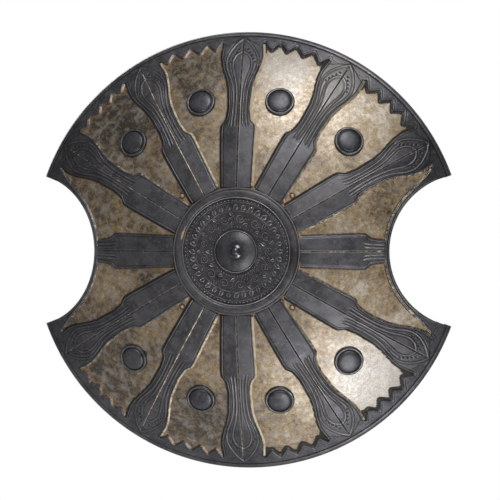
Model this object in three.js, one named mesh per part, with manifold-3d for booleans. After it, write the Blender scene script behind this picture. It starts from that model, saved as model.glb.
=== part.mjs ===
// A round, domed shield with a bite in each side, after the two-bite shields of ancient Boeotia.
// A bowl of glued wooden planks carries a thin bronze facing. Over it lie twelve rib straps that run
// from a hub to a toothed rim band, with a roundel in each of the eight full windows between them.
// Behind the bowl are a forearm strap over a pad, a hand grip and two carrying rings.
// Lengths are millimetres. The shield stands upright: +Z is up, the face looks along -Y, and +X is
// on the right of someone who looks at the face. The origin is on the shield's axis, in the plane
// of the rim's flat back.
import * as THREE from "three";
import { mergeVertices } from "three/addons/utils/BufferGeometryUtils.js";
import Module from "manifold-3d";

const wasm = await Module();
wasm.setup();

// Clearances, cutting overrun and the tolerance that joins shared corners
const seatGap = 0.3;
const overrun = 5;
const weldTolerance = 0.001;

// Bowl and rim
const shieldRadius = 450;
const bowlDepth = 130;
const boardThickness = 8;
const facingThickness = 0.8;
const frameThickness = 2.6;
const rimWall = 2;
const lipThickness = 1.5;
const lipWidth = 15;
const bandWidth = 19;
const toothDepth = 18;
const ribSeatWidth = 26.4;
const hornPlateWidth = 33;
const rimLineInset = 9;
const rimLineWidth = 2.4;
const rimLineDepth = 1.2;
const rimRollRise = 0.9;
const rimRollDrop = 3;
const teethPerWindow = 4;

// Side bites: half the mouth's height, and the depth from the mouth
const biteHalfMouth = 154;
const biteDepth = 121.8;
const biteBandWidth = 9;
const biteBandHornWidth = 12;
const biteLipWidth = 10;

// Planks of the bowl: how far the outer inner plank laps past the bottom of the bite
const plankBiteLap = 9;

// Rib straps: places along the strap from hub to rim, with the half width there, both as shares
const hourCount = 12;
const ribHalfWidth = 44.5;
const ribCrestRise = 2.2;
const ribGrooveHalfWidth = 2;
const ribGrooveDepth = 1.6;
const ribOutlineShares = [
  [0, 0.708],
  [0.379, 0.798],
  [0.423, 0.787],
  [0.453, 0.607],
  [0.48, 0.562],
  [0.541, 0.51],
  [0.677, 0.566],
  [0.752, 0.697],
  [0.809, 0.845],
  [0.86, 0.944],
  [0.908, 1],
  [1, 0.944],
];

// Hub ring, ornament plate, centre boss and its rivet
const hubRadius = 128;
const hubRingWidth = 22;
const hubRingHeight = 13.5;
const hubPlateHeight = 10.5;
const hubPlateEdgeHeight = 8;
const hubPlateFlatMargin = 5;
const bossRadius = 43.5;
const bossHeight = 11.3;
const nippleRadius = 8;
const nippleHeight = 7.5;
const hubShankRadius = 4;
const hubRoveRadius = 13;

// Roundels in the windows
const roundelRadius = 30;
const roundelHeight = 9.5;
const roundelCentreRadius = 311;
const roundelShankRadius = 3.5;
const roundelTailRadius = 6;

// Rivets, roves and tails
const roveThickness = 1.6;
const roveRadius = 8;
const tailHeight = 2.4;
const tailTopShare = 0.75;
const strapRivetHeadRadius = 5.5;
const strapRivetHeadHeight = 3;
const strapRivetShankRadius = 3;
const strapRivetTailRadius = 5;

// Straps and pad behind the bowl
const strapRivetOffset = 111;
const forearmStrapWidth = 70;
const forearmStrapThickness = 4;
const forearmStrapRise = 84;
const gripWidth = 32;
const gripThickness = 6;
const gripRise = 46;
const strapTabReach = 24;
const padHalfLength = 72;
const padHalfHeight = 58;
const padThickness = 10;
const padEdgeThickness = 5;
const padCornerShare = 0.45;

// Carrying rings and their staples
const ringOffset = 235;
const ringRadius = 22;
const ringWireRadius = 2;
const stapleWireRadius = 1.6;
const stapleHalfGap = 5;
const stapleRise = 6.5;
const stapleLegDepth = 4.5;
const ringAxisRise = 7;

// Fineness of the faceted surfaces
const turnSegments = 40;
const ringStep = 64;
const ribStep = 40;
const biteSegments = 48;
const bossSegments = 24;
const roundSegments = 12;
const smallSegments = 8;
const strapSteps = 24;
const ringSegments = 20;
const wireSides = 6;
const stapleSteps = 14;

// Bowl curve: a cap of a sphere, bowlDepth high over the rim's radius
const bowlRadius = (shieldRadius ** 2 + bowlDepth ** 2) / (2 * bowlDepth);
const bowlSphereOffset = bowlRadius - bowlDepth;

// Height of the bowl curve above the rim plane, at a distance from the axis
function dome(radius) {
  return Math.sqrt(bowlRadius ** 2 - radius ** 2) - bowlSphereOffset;
}

// Layers, each a height in front of the bowl curve
const boardBack = lipThickness + seatGap;
const boardFront = boardBack + boardThickness;
const facingBack = boardFront + seatGap;
const facingFront = facingBack + facingThickness;
const frameBack = facingFront + seatGap;
const frameFront = frameBack + frameThickness;

// Seat of a piece behind the bowl at a radius, clear of the flats between the facets' corners
function backSeat(radius) {
  const ringFlat = ringStep ** 2 / (8 * bowlRadius);
  const turnFlat = (radius ** 2 / bowlRadius) * (1 - Math.cos(Math.PI / turnSegments));
  return seatGap + ringFlat + turnFlat;
}

// The y of a point of a layer
function forward(level, radius) {
  return -(level + dome(radius));
}

// Radii that the board, the facing and the bands share
const boardRadius = shieldRadius - rimWall - seatGap;
const toothRootRadius = shieldRadius - bandWidth;
const toothTipRadius = toothRootRadius - toothDepth;
const ribEndPlace = shieldRadius - ribSeatWidth - seatGap;
const hornPlateRadius = shieldRadius - hornPlateWidth;
const hubPlateRadius = hubRadius - hubRingWidth - seatGap;
const ribStartPlace = hubRadius + seatGap;

// Bite circle, from the mouth's half height and the depth, and the inner edge circle of its band
const mouthPlace = Math.sqrt(shieldRadius ** 2 - biteHalfMouth ** 2);
const biteReach = mouthPlace - biteDepth;
const biteRadius = (biteHalfMouth ** 2 + biteDepth ** 2) / (2 * biteDepth);
const bitePlace = biteReach + biteRadius;
const bandReach = biteReach - biteBandWidth;
const hornX = mouthPlace - (biteBandHornWidth * (bitePlace - mouthPlace)) / biteRadius;
const hornZ = biteHalfMouth + (biteBandHornWidth * biteHalfMouth) / biteRadius;
const bandPlace = (hornX ** 2 + hornZ ** 2 - bandReach ** 2) / (2 * (hornX - bandReach));
const bandEdgeRadius = bandPlace - bandReach;

// Finishes
const wood = new THREE.MeshStandardMaterial({ color: 0x5a4330, roughness: 0.75, metalness: 0 });
const gold = new THREE.MeshStandardMaterial({ color: 0x9c8766, roughness: 0.5, metalness: 0.6 });
const iron = new THREE.MeshStandardMaterial({ color: 0x42424a, roughness: 0.45, metalness: 0.7 });
const rust = new THREE.MeshStandardMaterial({ color: 0x5c3b24, roughness: 0.6, metalness: 0.6 });
const brass = new THREE.MeshStandardMaterial({ color: 0x7d6a45, roughness: 0.45, metalness: 0.8 });
const hide = new THREE.MeshStandardMaterial({ color: 0x4a2e1c, roughness: 0.7, metalness: 0 });

// A closed geometry as a solid with its faces outwards
function toSolid(geometry) {
  const bare = geometry.index ? geometry.toNonIndexed() : geometry.clone();
  bare.deleteAttribute("normal");
  bare.deleteAttribute("uv");
  const merged = mergeVertices(bare, weldTolerance);
  const vertProperties = new Float32Array(merged.attributes.position.array);
  const triVerts = new Uint32Array(merged.index.array);
  const solid = new wasm.Manifold(new wasm.Mesh({ numProp: 3, vertProperties, triVerts }));
  if (solid.volume() > 0) return solid;
  for (let i = 0; i < triVerts.length; i += 3) {
    [triVerts[i + 1], triVerts[i + 2]] = [triVerts[i + 2], triVerts[i + 1]];
  }
  return new wasm.Manifold(new wasm.Mesh({ numProp: 3, vertProperties, triVerts }));
}

// A solid as a geometry
function toGeometry(solid) {
  const { vertProperties, triVerts } = solid.getMesh();
  const geometry = new THREE.BufferGeometry();
  geometry.setAttribute("position", new THREE.BufferAttribute(new Float32Array(vertProperties), 3));
  geometry.setIndex(new THREE.BufferAttribute(new Uint32Array(triVerts), 1));
  geometry.computeVertexNormals();
  return geometry;
}

// A named piece from a solid
function piece(name, solid, material) {
  const mesh = new THREE.Mesh(toGeometry(solid), material);
  mesh.name = name;
  return mesh;
}

// Radii from the axis to an outer one, at the corners that every layer of the bowl shares
function layerRadii(outer) {
  const radii = [];
  for (let radius = 0; radius < outer - ringStep / 8; radius += ringStep) radii.push(radius);
  return [...radii, outer];
}

// Points of a layer's section, from the axis outwards
function layerLine(level, outer) {
  return layerRadii(outer).map((radius) => new THREE.Vector2(radius, forward(level, radius)));
}

// A turned solid about the shield's axis, from a profile of radius and y
function turned(profile, segments = turnSegments) {
  return toSolid(new THREE.LatheGeometry(profile, segments));
}

// The part of the bowl between two layers, out to a radius
function layer(back, front, outer) {
  return turned([...layerLine(front, outer), ...layerLine(back, outer).reverse()]);
}

// An upright block that cuts through the whole bowl, from an outline of x and z
function throughBlock(points) {
  const shape = new THREE.Shape(points.map(([x, z]) => new THREE.Vector2(x, z)));
  const depth = shieldRadius;
  const geometry = new THREE.ExtrudeGeometry(shape, { depth, bevelEnabled: false });
  return toSolid(geometry.rotateX(Math.PI / 2).translate(0, overrun, 0));
}

// A round cutter along Y, centred at x on the mid line
function roundCutter(place, radius) {
  const height = 2 * shieldRadius;
  const geometry = new THREE.CylinderGeometry(radius, radius, height, biteSegments);
  return toSolid(geometry.translate(place, 0, 0));
}

// Both side bites, wider than their edge by a margin
function biteCutters(margin) {
  return [-1, 1].map((side) => roundCutter(side * bitePlace, biteRadius + margin));
}

// Where a fitting stands on the bowl: square to its curve, at a level and a place on the face
function seatMatrix(level, x, z) {
  const radius = Math.hypot(x, z);
  const outward = new THREE.Vector3(x, -(dome(radius) + bowlSphereOffset), z).normalize();
  const turn = new THREE.Quaternion().setFromUnitVectors(new THREE.Vector3(0, -1, 0), outward);
  const place = new THREE.Vector3(x, forward(level, radius), z);
  return new THREE.Matrix4().compose(place, turn, new THREE.Vector3(1, 1, 1));
}

// Depth square to the bowl from the frame's seat to the board's back, at a distance from the axis
function boardDepth(radius) {
  const slope = (dome(radius) + bowlSphereOffset) / bowlRadius;
  return (frameBack - boardBack) * slope;
}

// A hole for a shank through the bowl at a place, whose flats keep the clearance
function shankHole(x, z, shankRadius) {
  const radius = (shankRadius + seatGap) / Math.cos(Math.PI / smallSegments);
  const height = 2 * (frameBack + lipWidth);
  const geometry = new THREE.CylinderGeometry(radius, radius, height, smallSegments);
  return toSolid(geometry.applyMatrix4(seatMatrix(frameBack, x, z)));
}

// A lathe fitting on its seat: the profile's y is 0 at the seat and less in front
function fitting(name, profile, segments, material, level, x, z) {
  const points = profile.map(([radius, y]) => new THREE.Vector2(radius, y));
  const geometry = toGeometry(toSolid(new THREE.LatheGeometry(points, segments)));
  const mesh = new THREE.Mesh(geometry, material);
  mesh.name = name;
  seatMatrix(level, x, z).decompose(mesh.position, mesh.quaternion, mesh.scale);
  return mesh;
}

// Direction of a clock hour on the face, as an angle from +X
function hourAngle(hour) {
  return Math.PI / 2 - (2 * Math.PI * hour) / hourCount;
}

// A point of the face from its place along and across a direction
function facePoint(angle, along, across) {
  return [
    along * Math.cos(angle) - across * Math.sin(angle),
    along * Math.sin(angle) + across * Math.cos(angle),
  ];
}

// Places of the roundels, half past each hour that has a full window
const windowHours = [0.5, 1.5, 4.5, 5.5, 6.5, 7.5, 10.5, 11.5];
const roundelPlaces = windowHours.map((hour) => facePoint(hourAngle(hour), roundelCentreRadius, 0));

// Places of the strap rivets, at the corners of a square
const strapRivetPlaces = [
  [1, 1],
  [1, -1],
  [-1, -1],
  [-1, 1],
].map(([sideX, sideZ]) => [sideX * strapRivetOffset, sideZ * strapRivetOffset]);

// Upright joints between planks on one side, clear of the shanks: halfway from the hub's rivet to the
// nearer roundels, halfway from the strap rivets to the farther ones, and past the bite's bottom
const nearRoundelX = roundelCentreRadius * Math.cos(hourAngle(windowHours[0]));
const farRoundelX = roundelCentreRadius * Math.cos(hourAngle(windowHours[1]));
const plankJoints = [
  nearRoundelX / 2,
  (strapRivetOffset + farRoundelX) / 2,
  biteReach + plankBiteLap,
];

// Staple legs: two for each carrying ring, one above the other
const stapleLegPlaces = [-1, 1].flatMap((side) =>
  [-1, 1].map((leg) => [side * ringOffset, ringOffset + leg * stapleHalfGap]),
);

// Every hole through the facing and the board
const throughHoles = [
  shankHole(0, 0, hubShankRadius),
  ...roundelPlaces.map(([x, z]) => shankHole(x, z, roundelShankRadius)),
  ...strapRivetPlaces.map(([x, z]) => shankHole(x, z, strapRivetShankRadius)),
];

// Blind holes for the staple legs, from behind
function stapleHole([x, z]) {
  const radius = stapleWireRadius + seatGap;
  const height = 2 * (stapleLegDepth + seatGap);
  const geometry = new THREE.CylinderGeometry(radius, radius, height, smallSegments);
  return toSolid(geometry.translate(x, forward(boardBack, Math.SQRT2 * ringOffset), z));
}

// An upright box between two corners of x and z, through the whole bowl
function faceBox([lowX, lowZ], [highX, highZ]) {
  return throughBlock([
    [lowX, lowZ],
    [highX, lowZ],
    [highX, highZ],
    [lowX, highZ],
  ]);
}

// The planks: a turned bowl with a thick flat rim, cut by the bites and sawn into upright planks
function plankPieces() {
  const backLine = layerLine(boardBack, toothRootRadius).reverse();
  const profile = [
    ...layerLine(boardFront, boardRadius),
    new THREE.Vector2(boardRadius, -boardBack),
    new THREE.Vector2(toothRootRadius + boardBack, -boardBack),
    ...backLine,
  ];
  let bowl = turned(profile);
  const cutters = [...biteCutters(rimWall + seatGap), ...throughHoles];
  for (const cutter of [...cutters, ...stapleLegPlaces.map(stapleHole)]) bowl = bowl.subtract(cutter);
  const reach = shieldRadius + overrun;
  const half = seatGap / 2;
  const edges = [...plankJoints.map((place) => -place).reverse(), ...plankJoints];
  const planks = edges.slice(1).map((edge, i) => {
    const box = faceBox([edges[i] + half, -reach], [edge - half, reach]);
    return piece(`plank_${i + 1}`, bowl.intersect(box), wood);
  });
  const endEdge = edges.at(-1) + half;
  const ends = [
    ["plank_end_upper_left", faceBox([-reach, half], [-endEdge, reach])],
    ["plank_end_lower_left", faceBox([-reach, -reach], [-endEdge, -half])],
    ["plank_end_upper_right", faceBox([endEdge, half], [reach, reach])],
    ["plank_end_lower_right", faceBox([endEdge, -reach], [reach, -half])],
  ];
  for (const [name, box] of ends) planks.push(piece(name, bowl.intersect(box), wood));
  return planks;
}

// The thin bronze facing, with its bites and holes
function facingPiece() {
  let sheet = layer(facingBack, facingFront, boardRadius);
  for (const cutter of [...biteCutters(rimWall + seatGap), ...throughHoles]) {
    sheet = sheet.subtract(cutter);
  }
  return piece("facing_sheet", sheet, gold);
}

// Outline of the field inside the rim band: a flat seat at each rib and teeth across each window
function fieldOutline() {
  const points = [];
  const seatHalf = ribHalfWidth * ribOutlineShares.at(-1)[1] + seatGap;
  const seatPlace = ribEndPlace + seatGap;
  const cornerAngle = Math.atan2(seatHalf, seatPlace);
  const windowStep = (2 * Math.PI) / hourCount;
  const hornAngle = Math.asin((ribHalfWidth + seatGap) / hornPlateRadius);
  for (let hour = 0; hour < hourCount; hour += 1) {
    const angle = hourAngle(hour);
    points.push(facePoint(angle, seatPlace, seatHalf), facePoint(angle, seatPlace, -seatHalf));
    const steps = 2 * teethPerWindow;
    if (!windowHours.includes(hour + 1 / 2)) {
      const start = angle - hornAngle;
      const end = angle - windowStep + hornAngle;
      for (let i = 0; i <= steps; i += 1) {
        points.push(facePoint(start + ((end - start) * i) / steps, hornPlateRadius, 0));
      }
      continue;
    }
    const start = angle - cornerAngle;
    const span = windowStep - 2 * cornerAngle;
    for (let i = 0; i <= steps; i += 1) {
      const radius = i % 2 ? toothTipRadius : toothRootRadius;
      points.push(facePoint(start - (span * i) / steps, radius, 0));
    }
  }
  return points;
}

// The rim band's section: plate, incised line, rolled edge, wall and back lip
function rimProfile() {
  const lineRadius = shieldRadius - rimLineInset;
  const rollHalf = rimLineInset / 2 - rimLineWidth / 4;
  const wallRadius = shieldRadius - rimWall;
  const lipRadius = shieldRadius - lipWidth;
  const point = (radius, level) => new THREE.Vector2(radius, forward(level, radius));
  const outerDrop = frameFront - rimRollDrop;
  const corner = rimWall / 2;
  const profile = [
    point(toothTipRadius, frameFront),
    point(toothRootRadius, frameFront),
    point(lineRadius - rimLineWidth / 2, frameFront),
    point(lineRadius, frameFront - rimLineDepth),
    point(lineRadius + rimLineWidth / 2, frameFront),
    point(shieldRadius - rollHalf, frameFront + rimRollRise),
    point(shieldRadius - corner, frameFront - rimRollDrop / 4),
    point(shieldRadius, outerDrop),
    new THREE.Vector2(shieldRadius, 0),
    new THREE.Vector2(lipRadius, 0),
    new THREE.Vector2(lipRadius, -lipThickness),
    new THREE.Vector2(wallRadius, -lipThickness),
    point(wallRadius, frameBack),
    point(toothTipRadius, frameBack),
  ];
  return [...profile, profile[0]];
}

// The two rim bands, above and below the bites
function rimPieces() {
  let ring = turned(rimProfile()).subtract(throughBlock(fieldOutline()));
  for (const cutter of biteCutters(0)) ring = ring.subtract(cutter);
  const reach = shieldRadius + overrun;
  const upper = faceBox([-reach, 0], [reach, reach]);
  const lower = faceBox([-reach, -reach], [reach, 0]);
  return [
    piece("rim_band_upper", ring.intersect(upper), iron),
    piece("rim_band_lower", ring.intersect(lower), iron),
  ];
}

// The edge band round one bite: a wall over the board's cut edge, a front plate and a back lip
function biteBand(name, side) {
  const plateReach = hornPlateRadius - seatGap;
  const lipReach = toothRootRadius - seatGap;
  const wallProfile = [
    ...layerLine(frameFront, plateReach),
    new THREE.Vector2(plateReach, forward(facingFront, plateReach)),
    new THREE.Vector2(boardRadius, forward(facingFront, boardRadius)),
    new THREE.Vector2(boardRadius, -boardBack),
    new THREE.Vector2(lipReach, -boardBack),
    ...layerLine(0, lipReach).reverse(),
  ];
  const bite = roundCutter(side * bitePlace, biteRadius);
  const wall = turned(wallProfile).intersect(roundCutter(side * bitePlace, biteRadius + rimWall));
  const plateEdge = roundCutter(side * bandPlace, bandEdgeRadius);
  const plate = layer(frameBack, frameFront, plateReach).intersect(plateEdge);
  const lipEdge = roundCutter(side * bitePlace, biteRadius + biteLipWidth);
  const lip = layer(0, lipThickness, lipReach).intersect(lipEdge);
  return piece(name, wall.add(plate).add(lip).subtract(bite), iron);
}

// Places along a rib, with the half width at each, no further apart than ribStep
function ribStations() {
  const length = ribEndPlace - ribStartPlace;
  const outline = ribOutlineShares.map(([along, width]) => [
    ribStartPlace + along * length,
    width * ribHalfWidth,
  ]);
  const stations = [outline[0]];
  for (let i = 1; i < outline.length; i += 1) {
    const [fromPlace, fromWidth] = outline[i - 1];
    const [toPlace, toWidth] = outline[i];
    const parts = Math.ceil((toPlace - fromPlace) / ribStep);
    for (let j = 1; j <= parts; j += 1) {
      const share = j / parts;
      stations.push([
        fromPlace + (toPlace - fromPlace) * share,
        fromWidth + (toWidth - fromWidth) * share,
      ]);
    }
  }
  return stations;
}

// A closed skin over sections of equal count, with both ends closed from each section's first point
function loft(sections) {
  const count = sections[0].length;
  const positions = sections.flat().flatMap((point) => point.toArray());
  const index = [];
  for (let i = 1; i < sections.length; i += 1) {
    for (let j = 0; j < count; j += 1) {
      const next = (j + 1) % count;
      const [a, b] = [(i - 1) * count + j, (i - 1) * count + next];
      const [c, d] = [i * count + j, i * count + next];
      index.push(a, b, d, a, d, c);
    }
  }
  const last = (sections.length - 1) * count;
  for (let j = 1; j < count - 1; j += 1) {
    index.push(0, j + 1, j);
    index.push(last, last + j, last + j + 1);
  }
  const geometry = new THREE.BufferGeometry();
  geometry.setAttribute("position", new THREE.Float32BufferAttribute(positions, 3));
  geometry.setIndex(index);
  return geometry;
}

// One rib strap: a low roof with a groove along its crest, bedded on the curve of the facing
function ribSolid(hour) {
  const angle = hourAngle(hour);
  const bedding = ribHalfWidth ** 2 / (8 * bowlRadius);
  const crest = frameFront + ribCrestRise;
  const sections = ribStations().map(([along, half]) =>
    [
      [0, frameBack + bedding],
      [half, frameBack + bedding],
      [half, frameFront],
      [ribGrooveHalfWidth, crest],
      [0, crest - ribGrooveDepth],
      [-ribGrooveHalfWidth, crest],
      [-half, frameFront],
      [-half, frameBack + bedding],
    ].map(([across, level]) => {
      const [x, z] = facePoint(angle, along, across);
      return new THREE.Vector3(x, forward(level, Math.hypot(x, z)), z);
    }),
  );
  return toSolid(loft(sections));
}

// The twelve ribs, named by the clock; those at three and nine stop at the bite bands
function ribPieces() {
  const ribs = [];
  for (let hour = 1; hour <= hourCount; hour += 1) {
    const side = Math.cos(hourAngle(hour));
    const meetsBite = Math.abs(side) > 1 - 1 / hourCount ** 2;
    const name = `rib_${String(hour).padStart(2, "0")}`;
    const whole = ribSolid(hour);
    const cutter = roundCutter(Math.sign(side) * bandPlace, bandEdgeRadius + seatGap);
    ribs.push(piece(name, meetsBite ? whole.subtract(cutter) : whole, iron));
  }
  return ribs;
}

// The hub: ring, ornament plate, boss, and the rivet that holds them to the board
const hubSeat = forward(frameBack, hubRadius);
const hubBoreRadius = hubShankRadius + seatGap;

function hubPieces() {
  const inner = hubRadius - hubRingWidth;
  const ringShares = [
    [1, 0],
    [1, 0.37],
    [0.84, 0.44],
    [0.74, 0.8],
    [0.5, 1],
    [0.16, 0.76],
    [0.1, 0.9],
    [0, 0.88],
  ];
  const ringLine = ringShares.map(
    ([across, up]) => new THREE.Vector2(inner + across * hubRingWidth, hubSeat - up * hubRingHeight),
  );
  const ringFoot = new THREE.Vector2(inner, forward(frameBack, inner));
  const ring = turned([...ringLine, ringFoot, ringLine[0]]);

  const plateInner = bossRadius + hubPlateFlatMargin;
  const plateTop = [
    new THREE.Vector2(hubPlateRadius, hubSeat - hubPlateEdgeHeight),
    new THREE.Vector2(plateInner, hubSeat - hubPlateHeight),
    new THREE.Vector2(0, hubSeat - hubPlateHeight),
  ];
  const bore = shankHole(0, 0, hubShankRadius);
  const plate = turned([...layerLine(frameBack, hubPlateRadius), ...plateTop]).subtract(bore);

  const bossFoot = hubSeat - hubPlateHeight - seatGap;
  const bossShares = [
    [0.12, 0.9],
    [0.22, 0.94],
    [0.28, 1],
    [0.46, 0.93],
    [0.7, 0.74],
    [0.92, 0.42],
    [0.94, 0.52],
    [0.975, 0.52],
    [1, 0.38],
  ];
  const bossLine = bossShares.map(
    ([out, up]) => new THREE.Vector2(out * bossRadius, bossFoot - up * bossHeight),
  );
  const boss = turned(
    [
      new THREE.Vector2(bossRadius, bossFoot),
      new THREE.Vector2(hubBoreRadius, bossFoot),
      new THREE.Vector2(hubBoreRadius, bossLine[0].y),
      ...bossLine,
      new THREE.Vector2(bossRadius, bossFoot),
    ],
    bossSegments,
  );

  const backY = forward(boardBack, 0);
  const roveY = backY + backSeat(hubRoveRadius);
  const tailY = roveY + roveThickness + seatGap;
  const headY = bossLine[0].y - seatGap;
  const nippleShares = [
    [0, 1],
    [0.5, 0.85],
    [0.87, 0.5],
    [1, 0],
  ];
  const nippleLine = nippleShares.map(
    ([out, up]) => new THREE.Vector2(out * nippleRadius, headY - up * nippleHeight),
  );
  const rivet = turned(
    [
      ...nippleLine,
      new THREE.Vector2(hubShankRadius, headY),
      new THREE.Vector2(hubShankRadius, tailY),
      new THREE.Vector2(nippleRadius, tailY),
      new THREE.Vector2(nippleRadius * tailTopShare, tailY + tailHeight),
      new THREE.Vector2(0, tailY + tailHeight),
    ],
    roundSegments,
  );
  const rove = turned(roveRing(hubRoveRadius, hubBoreRadius, roveY), roundSegments);
  return [
    piece("hub_ring", ring, iron),
    piece("hub_plate", plate, iron),
    piece("centre_boss", boss, iron),
    piece("centre_rivet", rivet, iron),
    piece("centre_rove", rove, brass),
  ];
}

// Closed section of a flat ring that starts at a y and is a rove thick
function roveRing(outer, inner, y) {
  const corners = [
    [inner, y],
    [outer, y],
    [outer, y + roveThickness],
    [inner, y + roveThickness],
    [inner, y],
  ];
  return corners.map(([radius, height]) => new THREE.Vector2(radius, height));
}

// The eight roundels: ring, groove and dome, with a shank that is clenched behind the board
function roundelPieces() {
  const edge = roundelRadius ** 2 / (2 * bowlRadius);
  const tailY = boardDepth(roundelCentreRadius) + backSeat(roundelCentreRadius);
  const topShares = [
    [0, 1],
    [0.42, 0.88],
    [0.77, 0.47],
    [0.82, 0.25],
    [0.88, 0.45],
    [0.95, 0.45],
    [1, 0.32],
  ];
  const profile = [
    ...topShares.map(([out, up]) => [out * roundelRadius, -up * roundelHeight]),
    [roundelRadius, edge],
    [roundelShankRadius, 0],
    [roundelShankRadius, tailY],
    [roundelTailRadius, tailY],
    [roundelTailRadius * tailTopShare, tailY + tailHeight],
    [0, tailY + tailHeight],
  ];
  return roundelPlaces.map(([x, z], i) =>
    fitting(`roundel_${i + 1}`, profile, roundSegments, iron, frameBack, x, z),
  );
}

// How far a strap of a width stands off the hollow of the bowl so that its edges clear it
function strapSeat(width) {
  const reach = Math.SQRT2 * strapRivetOffset + strapTabReach;
  return backSeat(reach) + (width / 2) ** 2 / (2 * bowlRadius);
}

// Centre line of a strap from tab to tab: its place up the shield and its height off the board,
// as shares of the rivets' offset and of the strap's rise
const strapLineShares = [
  [0.86, 0],
  [0.79, 0.06],
  [0.775, 0.2],
  [0.765, 0.42],
  [0.71, 0.66],
  [0.57, 0.86],
  [0.33, 0.975],
  [0, 1],
];

// The strap's centre line in its own plane, as points of height off the mid seat and place
function strapLine(thickness, rise, seat) {
  const onBoard = (place) => new THREE.Vector2(place ** 2 / (2 * bowlRadius) + seat, place);
  const tab = [
    onBoard(strapRivetOffset + strapTabReach),
    onBoard(strapRivetOffset + strapTabReach / 2),
    onBoard(strapRivetOffset),
  ];
  const arch = strapLineShares.map(([up, out]) => {
    const place = up * strapRivetOffset;
    const foot = onBoard(place).x;
    return new THREE.Vector2(foot + out * (rise - foot), place);
  });
  const half = [...tab, ...arch];
  const mirrored = half.slice(0, -1).reverse().map((point) => new THREE.Vector2(point.x, -point.y));
  const lift = thickness / 2;
  return [...half, ...mirrored].map((point) => new THREE.Vector2(point.x + lift, point.y));
}

// A strap behind the board at a place across it, bent over a hollow for an arm or a hand
function strapSolid(place, width, thickness, rise) {
  const curve = new THREE.SplineCurve(strapLine(thickness, rise, strapSeat(width)));
  const sides = [[], []];
  for (let i = 0; i <= strapSteps; i += 1) {
    const point = curve.getPoint(i / strapSteps);
    const tangent = curve.getTangent(i / strapSteps);
    const normal = new THREE.Vector2(-tangent.y, tangent.x).multiplyScalar(thickness / 2);
    sides[0].push(point.clone().add(normal));
    sides[1].push(point.clone().sub(normal));
  }
  const shape = new THREE.Shape([...sides[0], ...sides[1].reverse()]);
  const geometry = new THREE.ExtrudeGeometry(shape, { depth: width, bevelEnabled: false });
  geometry.translate(0, 0, -width / 2);
  const seatY = forward(boardBack, place);
  const tilt = -Math.asin(place / bowlRadius);
  const basis = new THREE.Matrix4().makeBasis(
    new THREE.Vector3(Math.sin(tilt), Math.cos(tilt), 0).normalize(),
    new THREE.Vector3(0, 0, 1),
    new THREE.Vector3(Math.cos(tilt), -Math.sin(tilt), 0),
  );
  basis.setPosition(place, seatY, 0);
  let solid = toSolid(geometry.applyMatrix4(basis));
  for (const [x, z] of strapRivetPlaces) {
    solid = solid.subtract(shankHole(x, z, strapRivetShankRadius));
  }
  return solid;
}

// The rivets and roves that hold both straps
function strapFasteners() {
  const pieces = [];
  strapRivetPlaces.forEach(([x, z], i) => {
    const forearm = x > 0;
    const width = forearm ? forearmStrapWidth : gripWidth;
    const thickness = forearm ? forearmStrapThickness : gripThickness;
    const depth = boardDepth(Math.hypot(x, z));
    const roveY = depth + strapSeat(width) + thickness + 2 * seatGap;
    const tailY = roveY + roveThickness + seatGap;
    const head = strapRivetHeadRadius;
    const headShares = [
      [0, 1],
      [0.6, 0.8],
      [1, 0.3],
      [1, 0],
    ];
    const profile = [
      ...headShares.map(([out, up]) => [out * head, -up * strapRivetHeadHeight]),
      [strapRivetShankRadius, 0],
      [strapRivetShankRadius, tailY],
      [strapRivetTailRadius, tailY],
      [strapRivetTailRadius * tailTopShare, tailY + tailHeight],
      [0, tailY + tailHeight],
    ];
    const ring = roveRing(roveRadius, strapRivetShankRadius + seatGap, roveY);
    const section = ring.map((point) => [point.x, point.y]);
    pieces.push(
      fitting(`strap_rivet_${i + 1}`, profile, smallSegments, rust, frameBack, x, z),
      fitting(`strap_rove_${i + 1}`, section, smallSegments, brass, frameBack, x, z),
    );
  });
  return pieces;
}

// The pad under the forearm: a flat bottom on the bowl's curve, sides drawn in and a crowned top
function padPiece() {
  const padSectionShares = [
    [0.01, 0],
    [0.5, 0],
    [0.96, 0],
    [1, 0.5],
    [0.97, 1],
    [0.8, 1.55],
    [0.5, 1.9],
    [0.01, 2],
  ];
  const around = 2 * roundSegments;
  const sections = padSectionShares.map(([outShare, upShare]) => {
    const section = [];
    for (let i = 0; i < around; i += 1) {
      const angle = (2 * Math.PI * i) / around;
      const corner = (value) => Math.sign(value) * Math.abs(value) ** padCornerShare;
      const x = strapRivetOffset + outShare * padHalfLength * corner(Math.cos(angle));
      const z = outShare * padHalfHeight * corner(Math.sin(angle));
      const rise =
        upShare < 1
          ? upShare * padEdgeThickness
          : padEdgeThickness + (upShare - 1) * (padThickness - padEdgeThickness);
      const radius = Math.hypot(x, z);
      section.push(new THREE.Vector3(x, forward(boardBack, radius) + backSeat(radius) + rise, z));
    }
    return section;
  });
  return piece("forearm_pad", toSolid(loft(sections)), hide);
}

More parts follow.
